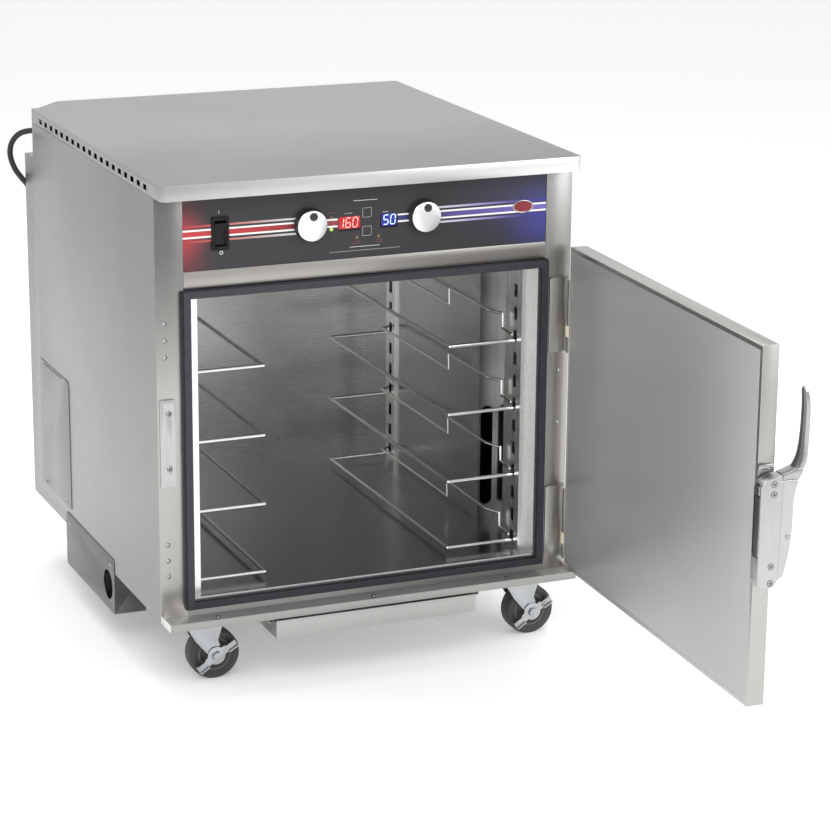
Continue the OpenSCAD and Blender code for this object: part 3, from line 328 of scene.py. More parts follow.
def arc(centre, radius, start, end, steps):
    angles = [math.radians(start + (end - start) * i / steps) for i in range(steps + 1)]
    return [(centre[0] + radius * math.cos(a), centre[1] + radius * math.sin(a)) for a in angles]


def rounded(low, high, radius):
    """Outline of a rectangle with round corners."""
    corners = [((high[0] - radius, high[1] - radius), 0), ((low[0] + radius, high[1] - radius), 90),
               ((low[0] + radius, low[1] + radius), 180), ((high[0] - radius, low[1] + radius), 270)]
    return [point for centre, start in corners for point in arc(centre, radius, start, start + 90, 5)]


def lathe(bm, profile, place, segments):
    """Turns a profile of (radius, height) about Z and puts it at a place, with its ends closed."""
    rings = []
    for radius, height in profile:
        if radius < 1e-6:
            rings.append([bm.verts.new(place @ Vector((0, 0, height)))])
            continue
        rings.append([bm.verts.new(place @ Vector((radius * math.cos(a), radius * math.sin(a), height)))
                      for a in (2 * math.pi * i / segments for i in range(segments))])
    for low, high in zip(rings, rings[1:]):
        for i in range(segments):
            j = (i + 1) % segments
            if len(low) == 1:
                bm.faces.new((low[0], high[j], high[i]))
            elif len(high) == 1:
                bm.faces.new((low[i], low[j], high[0]))
            else:
                bm.faces.new((low[i], low[j], high[j], high[i]))


def band(bm, low, high):
    """Faces between two closed rings of vertices."""
    turns = [(i, (i + 1) % len(low)) for i in range(len(low))]
    return [bm.faces.new((low[i], low[j], high[j], high[i])) for i, j in turns]


def closed_bands(bm, rings):
    """A skin through rings of vertices, from the last one back to the first."""
    for low, high in zip(rings, rings[1:] + rings[:1]):
        band(bm, low, high)
    bmesh.ops.recalc_face_normals(bm, faces=bm.faces)


def sweep(bm, sections):
    """A closed skin through cross-sections, each a list of points already in place."""
    rings = [[bm.verts.new(point) for point in section] for section in sections]
    made = [bm.faces.new(rings[0][::-1]), bm.faces.new(rings[-1])]
    for low, high in zip(rings, rings[1:]):
        made += band(bm, low, high)
    return made


def weld(bm, reach=1e-7):
    bmesh.ops.remove_doubles(bm, verts=bm.verts, dist=reach)


# Faces above this many square metres are flat sheet; only the eased edges beside them are shaded round
LARGE_FACE = 0.001


def soften(bm, width, segments=2, angle=28):
    sharp = [e for e in bm.edges if len(e.link_faces) == 2
             and e.calc_face_angle(0.0) > math.radians(angle)]
    if sharp and width:
        bmesh.ops.bevel(bm, geom=sharp, offset=width, offset_type="OFFSET", segments=segments,
                        profile=0.5, affect="EDGES", clamp_overlap=True)


def piece(name, bm, material, body, bevel=0.0, stands_for=(), place=None, angle=34):
    """Turns a bmesh into a piece that rides on a body, with its sharp edges eased."""
    soften(bm, bevel)
    if place is not None:
        bmesh.ops.transform(bm, matrix=place, verts=bm.verts)
    mesh = bpy.data.meshes.new(name)
    bm.to_mesh(mesh)
    bm.free()
    mesh.validate()
    if "custom_normal" in mesh.attributes:
        mesh.attributes.remove(mesh.attributes["custom_normal"])
    mesh.shade_smooth()
    for face in mesh.polygons:
        face.use_smooth = face.area < LARGE_FACE
    mesh.set_sharp_from_angle(angle=math.radians(angle))
    made = placed(name, mesh)
    for one in (material if isinstance(material, (list, tuple)) else [material]):
        mesh.materials.append(one)
    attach(made, body)
    if stands_for:
        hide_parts(*stands_for)


def eased(node, material, slot, bevel, chooser=None):
    """A CAD node's own shape with its edges eased, shown in the node's place."""
    bm = bmesh.new()
    bm.from_mesh(nodes[node].data)
    weld(bm, 1e-6)
    bmesh.ops.dissolve_limit(bm, angle_limit=math.radians(0.6), verts=bm.verts, edges=bm.edges)
    soften(bm, bevel)
    for face in bm.faces:
        face.material_index = chooser(face) if chooser else 0
    piece(node + "_eased", bm, material, nodes[node]["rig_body"], stands_for=(node,))


def paint(node, material):
    slots = nodes[node].data.materials
    slots.clear()
    slots.append(material)


# ---- power cord ----

CORD_DIAMETER = 0.010
CORD_ROUTE = [
    (0.0207, 0.7265, 0.782), (0.0102, 0.7358, 0.782), (-0.0035, 0.7475, 0.7768),
    (-0.0138, 0.7561, 0.7658), (-0.0195, 0.7613, 0.7502), (-0.0193, 0.7627, 0.732),
    (-0.0129, 0.7607, 0.7122), (-0.0035, 0.7574, 0.6972), (0.0078, 0.7557, 0.6824),
    (0.0161, 0.7563, 0.6652), (0.0203, 0.757, 0.6475), (0.0246, 0.757, 0.6298),
    (0.0337, 0.757, 0.6002), (0.0491, 0.757, 0.5501), (0.0704, 0.757, 0.480),
    (0.095, 0.757, 0.400), (0.1094, 0.7595, 0.310), (0.1182, 0.7632, 0.220),
    (0.125, 0.766, 0.150), (0.1282, 0.7671, 0.1052), (0.1265, 0.7678, 0.0742),
    (0.125, 0.768, 0.0502), (0.1296, 0.768, 0.0329), (0.1404, 0.768, 0.0189),
    (0.1564, 0.768, 0.0093), (0.1738, 0.768, 0.0056), (0.192, 0.768, 0.0053)]
COIL_CENTRE = (0.226, 0.8275)
COIL_RADIUS = 0.0545
PLUG_X = 0.264
PLUG_LEVEL = 0.0154
COIL_LEVELS = (0.0052, PLUG_LEVEL, 0.0256)
STEPS_PER_TURN = 48
STEADY_SHARE = 0.72  # of each turn, before the cord moves over to its next place


def smooth_path(points, steps):
    """Points on one smooth curve through the route's points."""
    route = [Vector(p) for p in points]
    last = len(route) - 1
    path = []
    for i in range(last):
        a, b, c, d = route[max(i - 1, 0)], route[i], route[i + 1], route[min(i + 2, last)]
        for step in range(steps):
            t = step / steps
            path.append(0.5 * (2 * b + (c - a) * t + (2 * a - 5 * b + 4 * c - d) * t * t
                               + (3 * b - a - 3 * c + d) * t ** 3))
    return path + [route[-1]]


def coil_path():
    """Turns beside and on each other: out and in at the bottom, up inside, and back outside."""
    radius = CORD_DIAMETER / 2
    outer, inner = COIL_RADIUS + radius, COIL_RADIUS - radius
    bottom, middle, top = COIL_LEVELS
    turns = [(outer, bottom), (inner, bottom), (inner, middle), (inner, top), (outer, top),
             (outer, middle), (outer, middle)]
    path = []
    for (r0, z0), (r1, z1) in zip(turns, turns[1:]):
        for step in range(STEPS_PER_TURN):
            t = step / STEPS_PER_TURN
            change = min(max((t - STEADY_SHARE) / (1 - STEADY_SHARE), 0.0), 1.0)
            change = change * change * (3 - 2 * change)
            angle = -math.pi / 2 + 2 * math.pi * t
            r = r0 + (r1 - r0) * change
            path.append(Vector((COIL_CENTRE[0] + r * math.cos(angle),
                                COIL_CENTRE[1] + r * math.sin(angle), z0 + (z1 - z0) * change)))
    return path


def make_cord():
    lead_y = COIL_CENTRE[1] - COIL_RADIUS - CORD_DIAMETER / 2
    path = smooth_path(CORD_ROUTE, 8) + coil_path()
    path += [Vector((x, lead_y, PLUG_LEVEL)) for x in (COIL_CENTRE[0], PLUG_X)]
    curve = bpy.data.curves.new("cord", "CURVE")
    curve.dimensions = "3D"
    spline = curve.splines.new("POLY")
    spline.points.add(len(path) - 1)
    for point, co in zip(spline.points, path):
        point.co = (*(corner + co), 1.0)
    curve.bevel_depth = CORD_DIAMETER / 2
    curve.bevel_resolution = 4
    curve.use_fill_caps = True
    cord = placed("cord", curve)
    curve.materials.append(cord_rubber)
    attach(cord, "cabinet")
    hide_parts("power_cord", "cord_coil")


make_cord()
for node in ("cord_plug", "cord_gland"):
    paint(node, black_plastic)


# ---- steelwork ----

def frame_faces(face):
    """First material on the left post, second on the rail, whose grain runs across, third on the right."""
    across = (face.calc_center_median().x - corner.x) / WIDTH
    if across < 0.08:
        return 0
    return 1 if across < 0.92 else 2


def front_faces(face):
    """Second material on faces that look forwards, as the nose's front does: a brighter copy of the steel on
    the top panel, painted light; a darker copy on the sill, painted shade; the posts' steel, with its painted
    shade, on the side panels.
    """
    return 1 if face.normal.y < -0.5 else 0


def back_faces(face):
    """Second material on walls that face the door or the rear."""
    return 1 if abs(face.normal.y) > 0.5 else 0


SHEET_LOOKS = {
    "top_panel": ([steel_top, steel_nose_painted_light], 0.0007, front_faces),
    "side_panel_left": ([steel_side, post_left_painted_shade], 0.0004, front_faces),
    "side_panel_right": ([steel_side, post_right_painted_shade], 0.0004, front_faces),
    "rear_panel": (steel_side, 0.0), "control_bay_back": (steel_side, 0.0),
    "front_frame": ([post_left_painted_shade, steel_front, post_right_painted_shade], 0.0004, frame_faces),
    "sill_trough": ([sill_top_painted_light, sill_front_painted_shade], 0.0005, front_faces),
    "drip_tray": (tray_steel, 0.0004), "service_box": (steel_dark, 0.0004),
    "access_cover": (steel_cover, 0.0004), "strike_plate": (steel_bright, 0.0006),
    # The frame's hinge leaves share the right post's steel, with its painted shade.
    "hinge_frame_leaves": (post_right_painted_shade, 0.0005),
    "hinge_door_leaves": (steel_upright, 0.0005),
    "door_outer_skin": (door_edge, 0.0006), "door_inner_pan": (door_steel, 0.0004)}
for node, (material, bevel, *chooser) in SHEET_LOOKS.items():
    slot = "liner" if node == "door_inner_pan" else "steel"
    eased(node, material, slot, bevel, *chooser)
eased("cavity_liner", [liner_steel, liner_back], "liner", 0.0, back_faces)
PLAIN_LOOKS = [
    (steel_side, "base_pan", "control_plate", "humidity_boiler"),
    (liner_steel, "control_deck", "ceiling_plenum", "air_ducts"),
    (liner_bright, "slide_uprights"), (wire_nickel, "slides_left", "slides_right"),
    (wool, "insulation", "door_insulation"), (board_green, "control_electronics"),
    (dark_sheath, "air_heater"), (cast_metal, "blower_motor", "fan_wheel"), (nylon, "hinge_bushings"),
    (gasket_rubber, "door_gasket"), (zinc, "caster_mounts"), (black_plastic, "displays")]
for material, *names in PLAIN_LOOKS:
    for node in names:
        paint(node, material)
for side in ("left", "right"):
    eased("caster_fork_" + side, zinc, "zinc", 0.0006)
    eased("brake_" + side, zinc, "zinc", 0.0005)


# ---- casters ----

def make_wheel(node, body):
    low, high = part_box(node)
    centre = (low + high) / 2
    radius = (high.z - low.z) / 2
    along_x = (high.x - low.x) < (high.y - low.y)
    half = (min(high.x - low.x, high.y - low.y)) / 2 - 0.001
    turn = Matrix.Rotation(math.pi / 2, 4, "Y" if along_x else "X")
    place = Matrix.Translation(centre) @ turn
    core = radius - 0.013
    bm = bmesh.new()
    tread = [(core - 0.0002, -half + 0.002), (core + 0.001, -half + 0.0008), (radius - 0.007, -half)]
    for angle in (math.radians(a) for a in (15, 35, 55, 75)):
        tread.append((radius - 0.005 + 0.005 * math.sin(angle), -half + 0.005 - 0.005 * math.cos(angle)))
    tread += [(radius, -half + 0.008)]
    tread += [(r, -z) for r, z in reversed(tread)]
    lathe(bm, tread + [tread[0]], place, 96)
    tread_faces = len(bm.faces)
    hub = [(0.0042, -half - 0.001), (0.0105, -half - 0.001), (0.0115, -half), (0.0125, -half + 0.005),
           (core - 0.009, -half + 0.006), (core - 0.006, -half + 0.0035), (core - 0.0045, -half + 0.0015),
           (core - 0.002, -half + 0.001), (core, -half + 0.0022)]
    hub += [(r, -z) for r, z in reversed(hub)]
    lathe(bm, hub + [hub[0]], place, 96)
    weld(bm)
    bm.faces.ensure_lookup_table()
    for face in bm.faces[tread_faces:]:
        face.material_index = 1
    bmesh.ops.recalc_face_normals(bm, faces=bm.faces)
    piece(node + "_detailed", bm, [tread_rubber, core_plastic], body, stands_for=(node,))


for node in ("wheel_front_left", "wheel_front_right", "wheel_rear_left", "wheel_rear_right"):
    make_wheel(node, nodes[node]["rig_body"])


# ---- latch ----

latch_pivot = on_door.inverted() @ Vector(joints["latch_pull"]["pos_m"])
DOOR_INNER_Y = latch_pivot.y + 0.039
LATCH_BASE = latch_pivot.z - 0.075
LATCH_WIDTH = 0.0239
LEVER_LOW, LEVER_HIGH = 0.0048, 0.0188


def latch_point(depth, height):
    """A place on the latch's side: how far out of the door's inner face and up its foot, in mm."""
    return (DOOR_INNER_Y - depth / 1000, LATCH_BASE + height / 1000)


def pivot_arc(radius, start, end, steps):
    """Points round the lever's pivot, between two angles from straight up, outwards positive."""
    angles = [math.radians(start + (end - start) * i / steps) for i in range(steps + 1)]
    return [(39 + radius * math.sin(a), 75 + radius * math.cos(a)) for a in angles]


def cut(bm, cutter):
    """Takes one solid out of another."""
    objects = []
    for one in (bm, cutter):
        bmesh.ops.recalc_face_normals(one, faces=one.faces)
        mesh = bpy.data.meshes.new("cut")
        one.to_mesh(mesh)
        one.free()
        mesh.materials.append(None)
        mesh.materials.append(None)
        objects.append(placed("cut", mesh))
    modifier = objects[0].modifiers.new("cut", "BOOLEAN")
    modifier.object = objects[1]
    modifier.solver = "EXACT"
    evaluated = objects[0].evaluated_get(bpy.context.evaluated_depsgraph_get())
    result = bmesh.new()
    result.from_mesh(evaluated.to_mesh())
    evaluated.to_mesh_clear()
    for one in objects:
        mesh = one.data
        bpy.data.objects.remove(one)
        bpy.data.meshes.remove(mesh)
    weld(result, 1e-6)
    return result


def make_latch_case():
    side = [(-5.5, 12), (-4.5, 6), (-1.5, 1.5), (2, 0), (14, 0), (20, 2), (24, 7), (28, 13), (34, 15.5),
            (36, 22), (38.5, 32), (42, 48), (44.5, 66), (46, 85), (46.5, 105), (46.5, 122), (47.5, 134),
            (49.5, 145)]
    side += pivot_arc(84.6, 9.6, -7.5, 6)
    side += [(27, 167.2), (18, 165.5), (8, 163), (0, 159), (-3.5, 155.5), (-5.5, 150)]
    bm = bmesh.new()
    prism(bm, [latch_point(*p) for p in side], "yz", 0.0, LATCH_WIDTH)
    bmesh.ops.recalc_face_normals(bm, faces=bm.faces)
    soften(bm, 0.0014, 3, 40)
    slot = bmesh.new()
    prism(slot, [latch_point(*p) for p in ((28.6, 61), (90, 61), (90, 200), (28.6, 200))], "yz",
          LEVER_LOW - 0.0008, LEVER_HIGH + 0.0008)
    bm = cut(bm, slot)
    pocket = bmesh.new()
    window = [(0.0215, LATCH_BASE + 0.046), (0.0215, LATCH_BASE + 0.146)]
    window += arc((0.0125, LATCH_BASE + 0.146), 0.009, 0, 180, 8)[1:]
    window += [(0.0035, LATCH_BASE + 0.046)]
    prism(pocket, window, "xz", DOOR_INNER_Y + 0.0015, DOOR_INNER_Y + 0.010)
    bm = cut(bm, pocket)
    score = bmesh.new()
    prism(score, [latch_point(*p) for p in ((25.6, 12), (26.2, 12), (28.6, 157), (28.0, 157))], "yz",
          -0.001, 0.0004)
    bm = cut(bm, score)
    piece("latch_case", bm, [satin_cast], "door", stands_for=("latch_body",), place=on_door)


def lever_section(depth, height, heading, half_width, half_thick):
    """A rounded section of the lever square to its run in the side view."""
    across = Vector((-heading[1], heading[0])).normalized()
    middle = (LEVER_LOW + LEVER_HIGH) / 2
    points = []
    for i in range(20):
        a = 2 * math.pi * i / 20
        c, s = math.cos(a), math.sin(a)
        u = math.copysign(abs(c) ** 0.75, c) * half_width
        w = math.copysign(abs(s) ** 0.75, s) * half_thick
        y, z = latch_point(depth + across.x * u, height + across.y * u)
        points.append(Vector((middle + w / 1000, y, z)))
    return points


def make_latch_lever():
    """An eye and arm inside the case, a flared head over its top, and a grip that stands up from it. The
    grip's faces turned back towards the door get a dark copy of its metal: painted shade.
    """
    bm = bmesh.new()
    eye = [latch_point(*p) for p in pivot_arc(9, 0, 345, 23)]
    prism(bm, eye, "yz", LEVER_LOW, LEVER_HIGH)
    arm = [(33, 78), (30, 150), (30, 160.5), (46, 160.5), (45, 150), (45, 78)]
    prism(bm, [latch_point(*p) for p in arm], "yz", LEVER_LOW + 0.0001, LEVER_HIGH - 0.0001)
    head = pivot_arc(84.8, -7.5, 9.7, 6)
    head += [(55.4, 161.5), (58.2, 166), (60.0, 171), (56, 175), (50, 175), (44, 172.8), (37, 170.2),
             (28, 167.6)]
    head_bm = bmesh.new()
    prism(head_bm, [latch_point(*p) for p in head], "yz", 0.0002, LATCH_WIDTH - 0.0002)
    soften(head_bm, 0.0012, 3, 35)
    mesh = bpy.data.meshes.new("head")
    head_bm.to_mesh(mesh)
    head_bm.free()
    bm.from_mesh(mesh)
    bpy.data.meshes.remove(mesh)
    run = [(43, 163, 3.6, 10.8), (48, 166.3, 5.8, 11.2), (52.8, 170.6, 7.2, 11.1), (57.2, 177, 8.0, 10.7),
           (60.6, 184.5, 8.0, 9.9), (62.6, 194, 7.5, 8.7), (63.7, 207, 6.8, 7.5), (64.8, 225, 6.5, 6.8),
           (65.3, 245, 6.3, 6.7), (65.2, 262, 6.0, 6.5), (64.2, 274, 5.4, 6.1), (62.6, 282, 4.6, 5.4),
           (60.8, 287.5, 3.4, 4.2), (59.6, 290, 1.8, 2.4)]
    sections = []
    for i, (depth, height, half, thick) in enumerate(run):
        a, b = run[max(i - 1, 0)], run[min(i + 1, len(run) - 1)]
        sections.append(lever_section(depth, height, (b[0] - a[0], b[1] - a[1]), half, thick))
    faces = sweep(bm, sections)
    bmesh.ops.recalc_face_normals(bm, faces=faces)
    grip_base = LATCH_BASE + 0.176
    for face in faces:
        # Faces turned back towards the door, on the grip, take the dark copy: painted shade.
        painted_shade_flank = face.normal.y > 0.35 and face.calc_center_median().z > grip_base
        face.material_index = 1 if painted_shade_flank else 0
    piece("latch_lever_cast", bm, [polished_cast, cast_painted_shade], "latch_handle",
          stands_for=("latch_lever",), place=on_door, angle=50)


def make_latch_inside():
    """The magnet in its pocket, with the bright bit and the ridged plunger above it."""
    bm = bmesh.new()
    face = DOOR_INNER_Y + 0.0048
    box(bm, (0.0062, DOOR_INNER_Y + 0.0016, LATCH_BASE + 0.0492), (0.0203, face, LATCH_BASE + 0.1358))
    box(bm, (0.0050, DOOR_INNER_Y + 0.0012, LATCH_BASE + 0.135), (0.0202, face - 0.0018, LATCH_BASE + 0.1535))
    piece("latch_magnet_block", bm, magnet_and_shade_black, "door", 0.0006, ("latch_magnet",), on_door)
    bm = bmesh.new()
    box(bm, (0.0037, DOOR_INNER_Y + 0.0016, LATCH_BASE + 0.048), (0.0060, face + 0.0004, LATCH_BASE + 0.137))
    for i in range(4):
        low = LATCH_BASE + 0.1385 + 0.0034 * i
        box(bm, (0.0055, DOOR_INNER_Y + 0.0016, low), (0.0195, face + 0.0003, low + 0.0021))
    piece("latch_bit", bm, cast_chrome, "door", 0.0004, (), on_door)


def make_door_trim():
    """The outer skin's narrow return over the inner pan's rim, and the folded stop above the latch."""
    low, high = (end.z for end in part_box("door_outer_skin"))
    left, right = LATCH_WIDTH + 0.0002, hinge.x - corner.x - 0.0112
    bm = bmesh.new()
    rings = []
    for inset, lift in ((0.0004, 0.0), (0.0004, 0.00015), (0.0068, 0.00015), (0.0070, 0.0)):
        ring = [(left + inset, low + inset), (right - inset, low + inset), (right - inset, high - inset),
                (left + inset, high - inset)]
        rings.append([bm.verts.new((x, DOOR_INNER_Y + lift, z)) for x, z in ring])
    closed_bands(bm, rings)
    piece("door_return", bm, return_steel, "door", place=on_door)
    bm = bmesh.new()
    stop = [latch_point(*p) for p in ((0.5, 170), (24.5, 170), (24.5, 178.5), (0.5, 178.5))]
    prism(bm, stop, "yz", left - 0.0030, left + 0.0010)
    piece("door_stop", bm, polished_cast, "door", 0.0012, place=on_door)


make_door_trim()
make_latch_case()
make_latch_lever()
make_latch_inside()


# ---- screw heads ----

def cross_cutter(bm, place, reach, depth):
    """One cross-shaped solid that a driver's recess is cut with, from Z = 0 down. Its faces take the second
    material, so the recess's walls come out black: painted shade.
    """
    thin = reach * 0.22  # half the width of an arm
    quarter = [(reach, -thin), (reach, thin), (thin, thin)]
    outline = []
    for turn in range(4):
        c, s = round(math.cos(turn * math.pi / 2)), round(math.sin(turn * math.pi / 2))
        outline += [(x * c - y * s, x * s + y * c) for x, y in quarter]
    top = [bm.verts.new(place @ Vector((x, y, 0.001))) for x, y in outline]
    foot = [bm.verts.new(place @ Vector((x * 0.6, y * 0.6, -depth))) for x, y in outline]
    bm.faces.new(top)
    bm.faces.new(foot[::-1])
    for k in range(len(outline)):
        bm.faces.new((top[k - 1], top[k], foot[k], foot[k - 1]))
    # The recess's walls get the black second material: painted shade.
    for face in bm.faces:
        face.material_index = 1


def make_body_screws():
    """The cabinet's dome heads, with a driver's cross cut in the two that hold the strike plate; the cross's
    walls are black, painted shade.
    """
    bm = bmesh.new()
    bm.from_mesh(nodes["body_screws"].data)
    weld(bm, 1e-6)
    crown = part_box("strike_plate")[0].y - 0.00043
    cutter = bmesh.new()
    for height in (0.2535, 0.3425):
        place = Matrix.Translation((corner.x + 0.0172, crown, BODY_BASE + height)) @ TO_FRONT
        cross_cutter(cutter, place, 0.0029, 0.0015)
    piece("body_screw_heads", cut(bm, cutter), [screw_steel, magnet_and_shade_black], "cabinet",
          stands_for=("body_screws",), angle=50)


def make_latch_screws():
    """Four cross-head screws and the lever's pin on the latch's side. Each screw has a thin black ring round
    its head, painted shadow, and a black cross, painted shade.
    """
    bm, cutter = bmesh.new(), bmesh.new()
    for depth, height in ((14.5, 8), (14.5, 33), (14.5, 140), (14.5, 155)):
        y, z = latch_point(depth, height)
        place = Matrix.Translation((0.0, y, z)) @ TO_LEFT
        lathe(bm, [(0.0, -0.001), (0.0044, -0.001), (0.0044, 0.0002), (0.0040, 0.0008), (0.0030, 0.0012),
                   (0.0016, 0.0014), (0.0, 0.0014)], place, 28)
        count = len(bm.faces)
        # A thin black ring round the head where it meets the case: painted shadow.
        painted_shadow_ring = [(0.00445, -0.001), (0.0050, -0.001), (0.0050, 0.00008), (0.00445, 0.00008)]
        lathe(bm, painted_shadow_ring + painted_shadow_ring[:1], place, 28)
        bm.faces.ensure_lookup_table()
        for face in bm.faces[count:]:
            face.material_index = 1
        cross_cutter(cutter, place @ Matrix.Translation((0, 0, 0.0014)), 0.0030, 0.0014)
    weld(bm)
    piece("latch_screw_heads", cut(bm, cutter), [screw_steel, magnet_and_shade_black], "door",
          stands_for=("latch_fixings",), place=on_door, angle=40)
    bm = bmesh.new()
    place = Matrix.Translation((0.0, latch_pivot.y, latch_pivot.z)) @ TO_LEFT
    lathe(bm, [(0.0, -0.001), (0.0042, -0.001), (0.0042, 0.0003), (0.0036, 0.0008), (0.0024, 0.0008),
               (0.0020, 0.0003), (0.0, 0.0002)], place, 28)
    weld(bm)
    piece("latch_pin_head", bm, screw_steel, "door", place=on_door, angle=40)


make_body_screws()
make_latch_screws()


# ---- control panel ----

panel_low, panel_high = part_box("control_overlay")
PANEL_FACE = panel_low.y - corner.y
PANEL_LEFT = panel_low.x - corner.x
PANEL_RIGHT = panel_high.x - corner.x
STRIPE_LEVEL = BODY_BASE + 0.6198
FILM_COLOR = (0.030, 0.029, 0.033)
# A print's front and back, in front of the film
INK_FRONT, INK_BACK = 0.00018, 0.00002


def glow(material, below, centre, reach, color):
    """Adds a soft spot of colour, in the X-Z plane, to the spots below it or to the bare film."""
    place = node_of(material, "ShaderNodeTexCoord")
    mapping = node_of(material, "ShaderNodeMapping", {
        "Location": (corner.x + centre[0], 0, centre[1]), "Scale": (reach[0], 1000, reach[1])},
        vector_type="TEXTURE")
    spot = node_of(material, "ShaderNodeTexGradient", gradient_type="SPHERICAL")
    ease = node_of(material, "ShaderNodeMapRange", interpolation_type="SMOOTHSTEP")
    mix = node_of(material, "ShaderNodeMixRGB", {"Color2": (*color, 1.0)}, blend_type="ADD")
    join(material, place, "Object", mapping, "Vector")
    join(material, mapping, "Vector", spot, "Vector")
    join(material, spot, "Fac", ease, "Value")
    join(material, ease, "Result", mix, "Fac")
    if below is None:
        mix.inputs["Color1"].default_value = (*FILM_COLOR, 1.0)
    else:
        join(material, below, 0, mix, "Color1")
    return mix


def overlay_material():
    """Dark charcoal film that glows red at its left end and blue at its right end."""
    material = new_material("overlay_film", FILM_COLOR, 0.36, Specular_IOR_Level=0.35)
    glows = [((PANEL_LEFT - 0.004, STRIPE_LEVEL - 0.004), (0.056, 0.048), (0.20, 0.012, 0.014)),
             ((PANEL_LEFT - 0.016, BODY_BASE + 0.600), (0.072, 0.125), (0.15, 0.002, 0.006)),
             ((PANEL_RIGHT + 0.010, BODY_BASE + 0.596), (0.105, 0.080), (0.010, 0.010, 0.15)),
             ((PANEL_RIGHT + 0.010, BODY_BASE + 0.628), (0.200, 0.085), (0.008, 0.008, 0.055))]
    last = None
    for centre, reach, color in glows:
        last = glow(material, last, centre, reach, color)
    join(material, last, 0, shader_of(material), "Base Color")
    fine = noise(material, 1800.0)
    vary_roughness(material, fine, 0.30, 0.42)
    add_bump(material, fine, 0.06, 0.0001)
    return material


def ink(name, color=(1, 1, 1)):
    """Print on the film, a little uneven in its shine."""
    material = new_material(name, color, 0.4)
    vary_roughness(material, noise(material, 1800.0), 0.34, 0.46)
    return material


def fading_ink(name, stops, run):
    """Ink whose colour changes along a run across the cabinet."""
    material = ink(name)
    ramp_over(material, "X", stops, *run)
    return material


def mark(bm, low, high, level, height):
    """One printed bar on the overlay, between two places across the cabinet."""
    half = height / 2
    box(bm, (low, PANEL_FACE - INK_FRONT, level - half), (high, PANEL_FACE - INK_BACK, level + half))


def print_piece(name, bm, material):
    piece(name, bm, material, "cabinet", place=on_cabinet)


def stripe(name, low, high, level, height, material):
    bm = bmesh.new()
    mark(bm, low, high, level, height)
    print_piece(name, bm, material)


paint("control_overlay", overlay_material())
KNOB_LEFT, KNOB_RIGHT = ((Vector(joints[name]["pos_m"]) - corner).x
                         for name in ("temperature_turn", "humidity_turn"))
# From the stripe's middle to its white lines, and to the fading lines outside them
LINE_GAP, OUTER_GAP = 0.0054, 0.0118
LINE_HEIGHT, FADE_HEIGHT = 0.0028, 0.0032
BAND_HEIGHT = 2 * LINE_GAP - LINE_HEIGHT
SIDES = ((1, "upper"), (-1, "lower"))
# How far from a knob's middle the lines stop, outside the knobs and between them
KNOB_OUTSIDE, KNOB_INSIDE = 0.018, 0.020
DISPLAYS_START, DISPLAYS_END = 0.2975, 0.3985
red_run = (PANEL_LEFT, KNOB_LEFT - KNOB_OUTSIDE)
blue_run = (KNOB_RIGHT + KNOB_OUTSIDE, PANEL_RIGHT)
white_ink = ink("white_ink", (0.80, 0.79, 0.78))
red_ink = fading_ink("red_ink", [(0.0, (0.46, 0.03, 0.035)), (0.55, (0.40, 0.022, 0.03)),
                                 (0.85, (0.26, 0.015, 0.02)), (1.0, (0.14, 0.012, 0.018))], red_run)
red_fade = fading_ink("red_fade", [(0.0, (0.34, 0.025, 0.03)), (0.25, (0.42, 0.08, 0.08)),
                                   (0.55, (0.44, 0.20, 0.18)), (0.8, (0.48, 0.42, 0.42)),
                                   (1.0, (0.58, 0.57, 0.60))], red_run)
blue_ink = fading_ink("blue_ink", [(0.0, (0.03, 0.026, 0.10)), (0.2, (0.08, 0.07, 0.24)),
                                   (0.6, (0.11, 0.085, 0.32)), (1.0, (0.14, 0.11, 0.40))], blue_run)
blue_fade = fading_ink("blue_fade", [(0.0, (0.62, 0.61, 0.68)), (0.35, (0.34, 0.30, 0.52)),
                                     (0.6, (0.13, 0.11, 0.32)), (0.8, (0.035, 0.035, 0.19)),
                                     (1.0, (0.022, 0.022, 0.25))], blue_run)
for side, run, color, fade in (("left", red_run, red_ink, red_fade),
                               ("right", blue_run, blue_ink, blue_fade)):
    stripe("band_" + side, *run, STRIPE_LEVEL, BAND_HEIGHT, color)
    for sign, word in SIDES:
        stripe("line_%s_%s" % (side, word), *run, STRIPE_LEVEL + sign * LINE_GAP, LINE_HEIGHT, white_ink)
        stripe("fade_%s_%s" % (side, word), *run, STRIPE_LEVEL + sign * OUTER_GAP, FADE_HEIGHT, fade)
short_runs = {"red": (KNOB_LEFT + KNOB_INSIDE, DISPLAYS_START),
              "blue": (DISPLAYS_END, KNOB_RIGHT - KNOB_INSIDE)}
for word, run in short_runs.items():
    for sign, side in SIDES:
        stripe("short_%s_%s" % (word, side), *run, STRIPE_LEVEL + sign * LINE_GAP, LINE_HEIGHT, white_ink)
dull_red = fading_ink("dull_red", [(0.0, (0.20, 0.03, 0.035)), (1.0, (0.28, 0.04, 0.045))],
                      short_runs["red"])
deep_blue = fading_ink("deep_blue", [(0.0, (0.03, 0.03, 0.16)), (1.0, (0.03, 0.03, 0.13))],
                       short_runs["blue"])
stripe("short_band_blue", *short_runs["blue"], STRIPE_LEVEL, BAND_HEIGHT, deep_blue)
stripe("short_band_red", *short_runs["red"], STRIPE_LEVEL, BAND_HEIGHT, dull_red)
stripe("rule_upper", 0.324, 0.364, BODY_BASE + 0.6525, 0.0007, white_ink)
stripe("rule_lower", 0.318, 0.368, BODY_BASE + 0.5795, 0.0006, white_ink)

DASH_GAP = 0.0016


def dashes(name, low, high, height_up, thickness, material, marks):
    """A row of plain marks where a legend would be, at a height up the body."""
    bm = bmesh.new()
    step = (high - low + DASH_GAP) / marks
    for i in range(marks):
        mark(bm, low + i * step, low + (i + 1) * step - DASH_GAP, BODY_BASE + height_up, thickness)
    print_piece(name, bm, material)


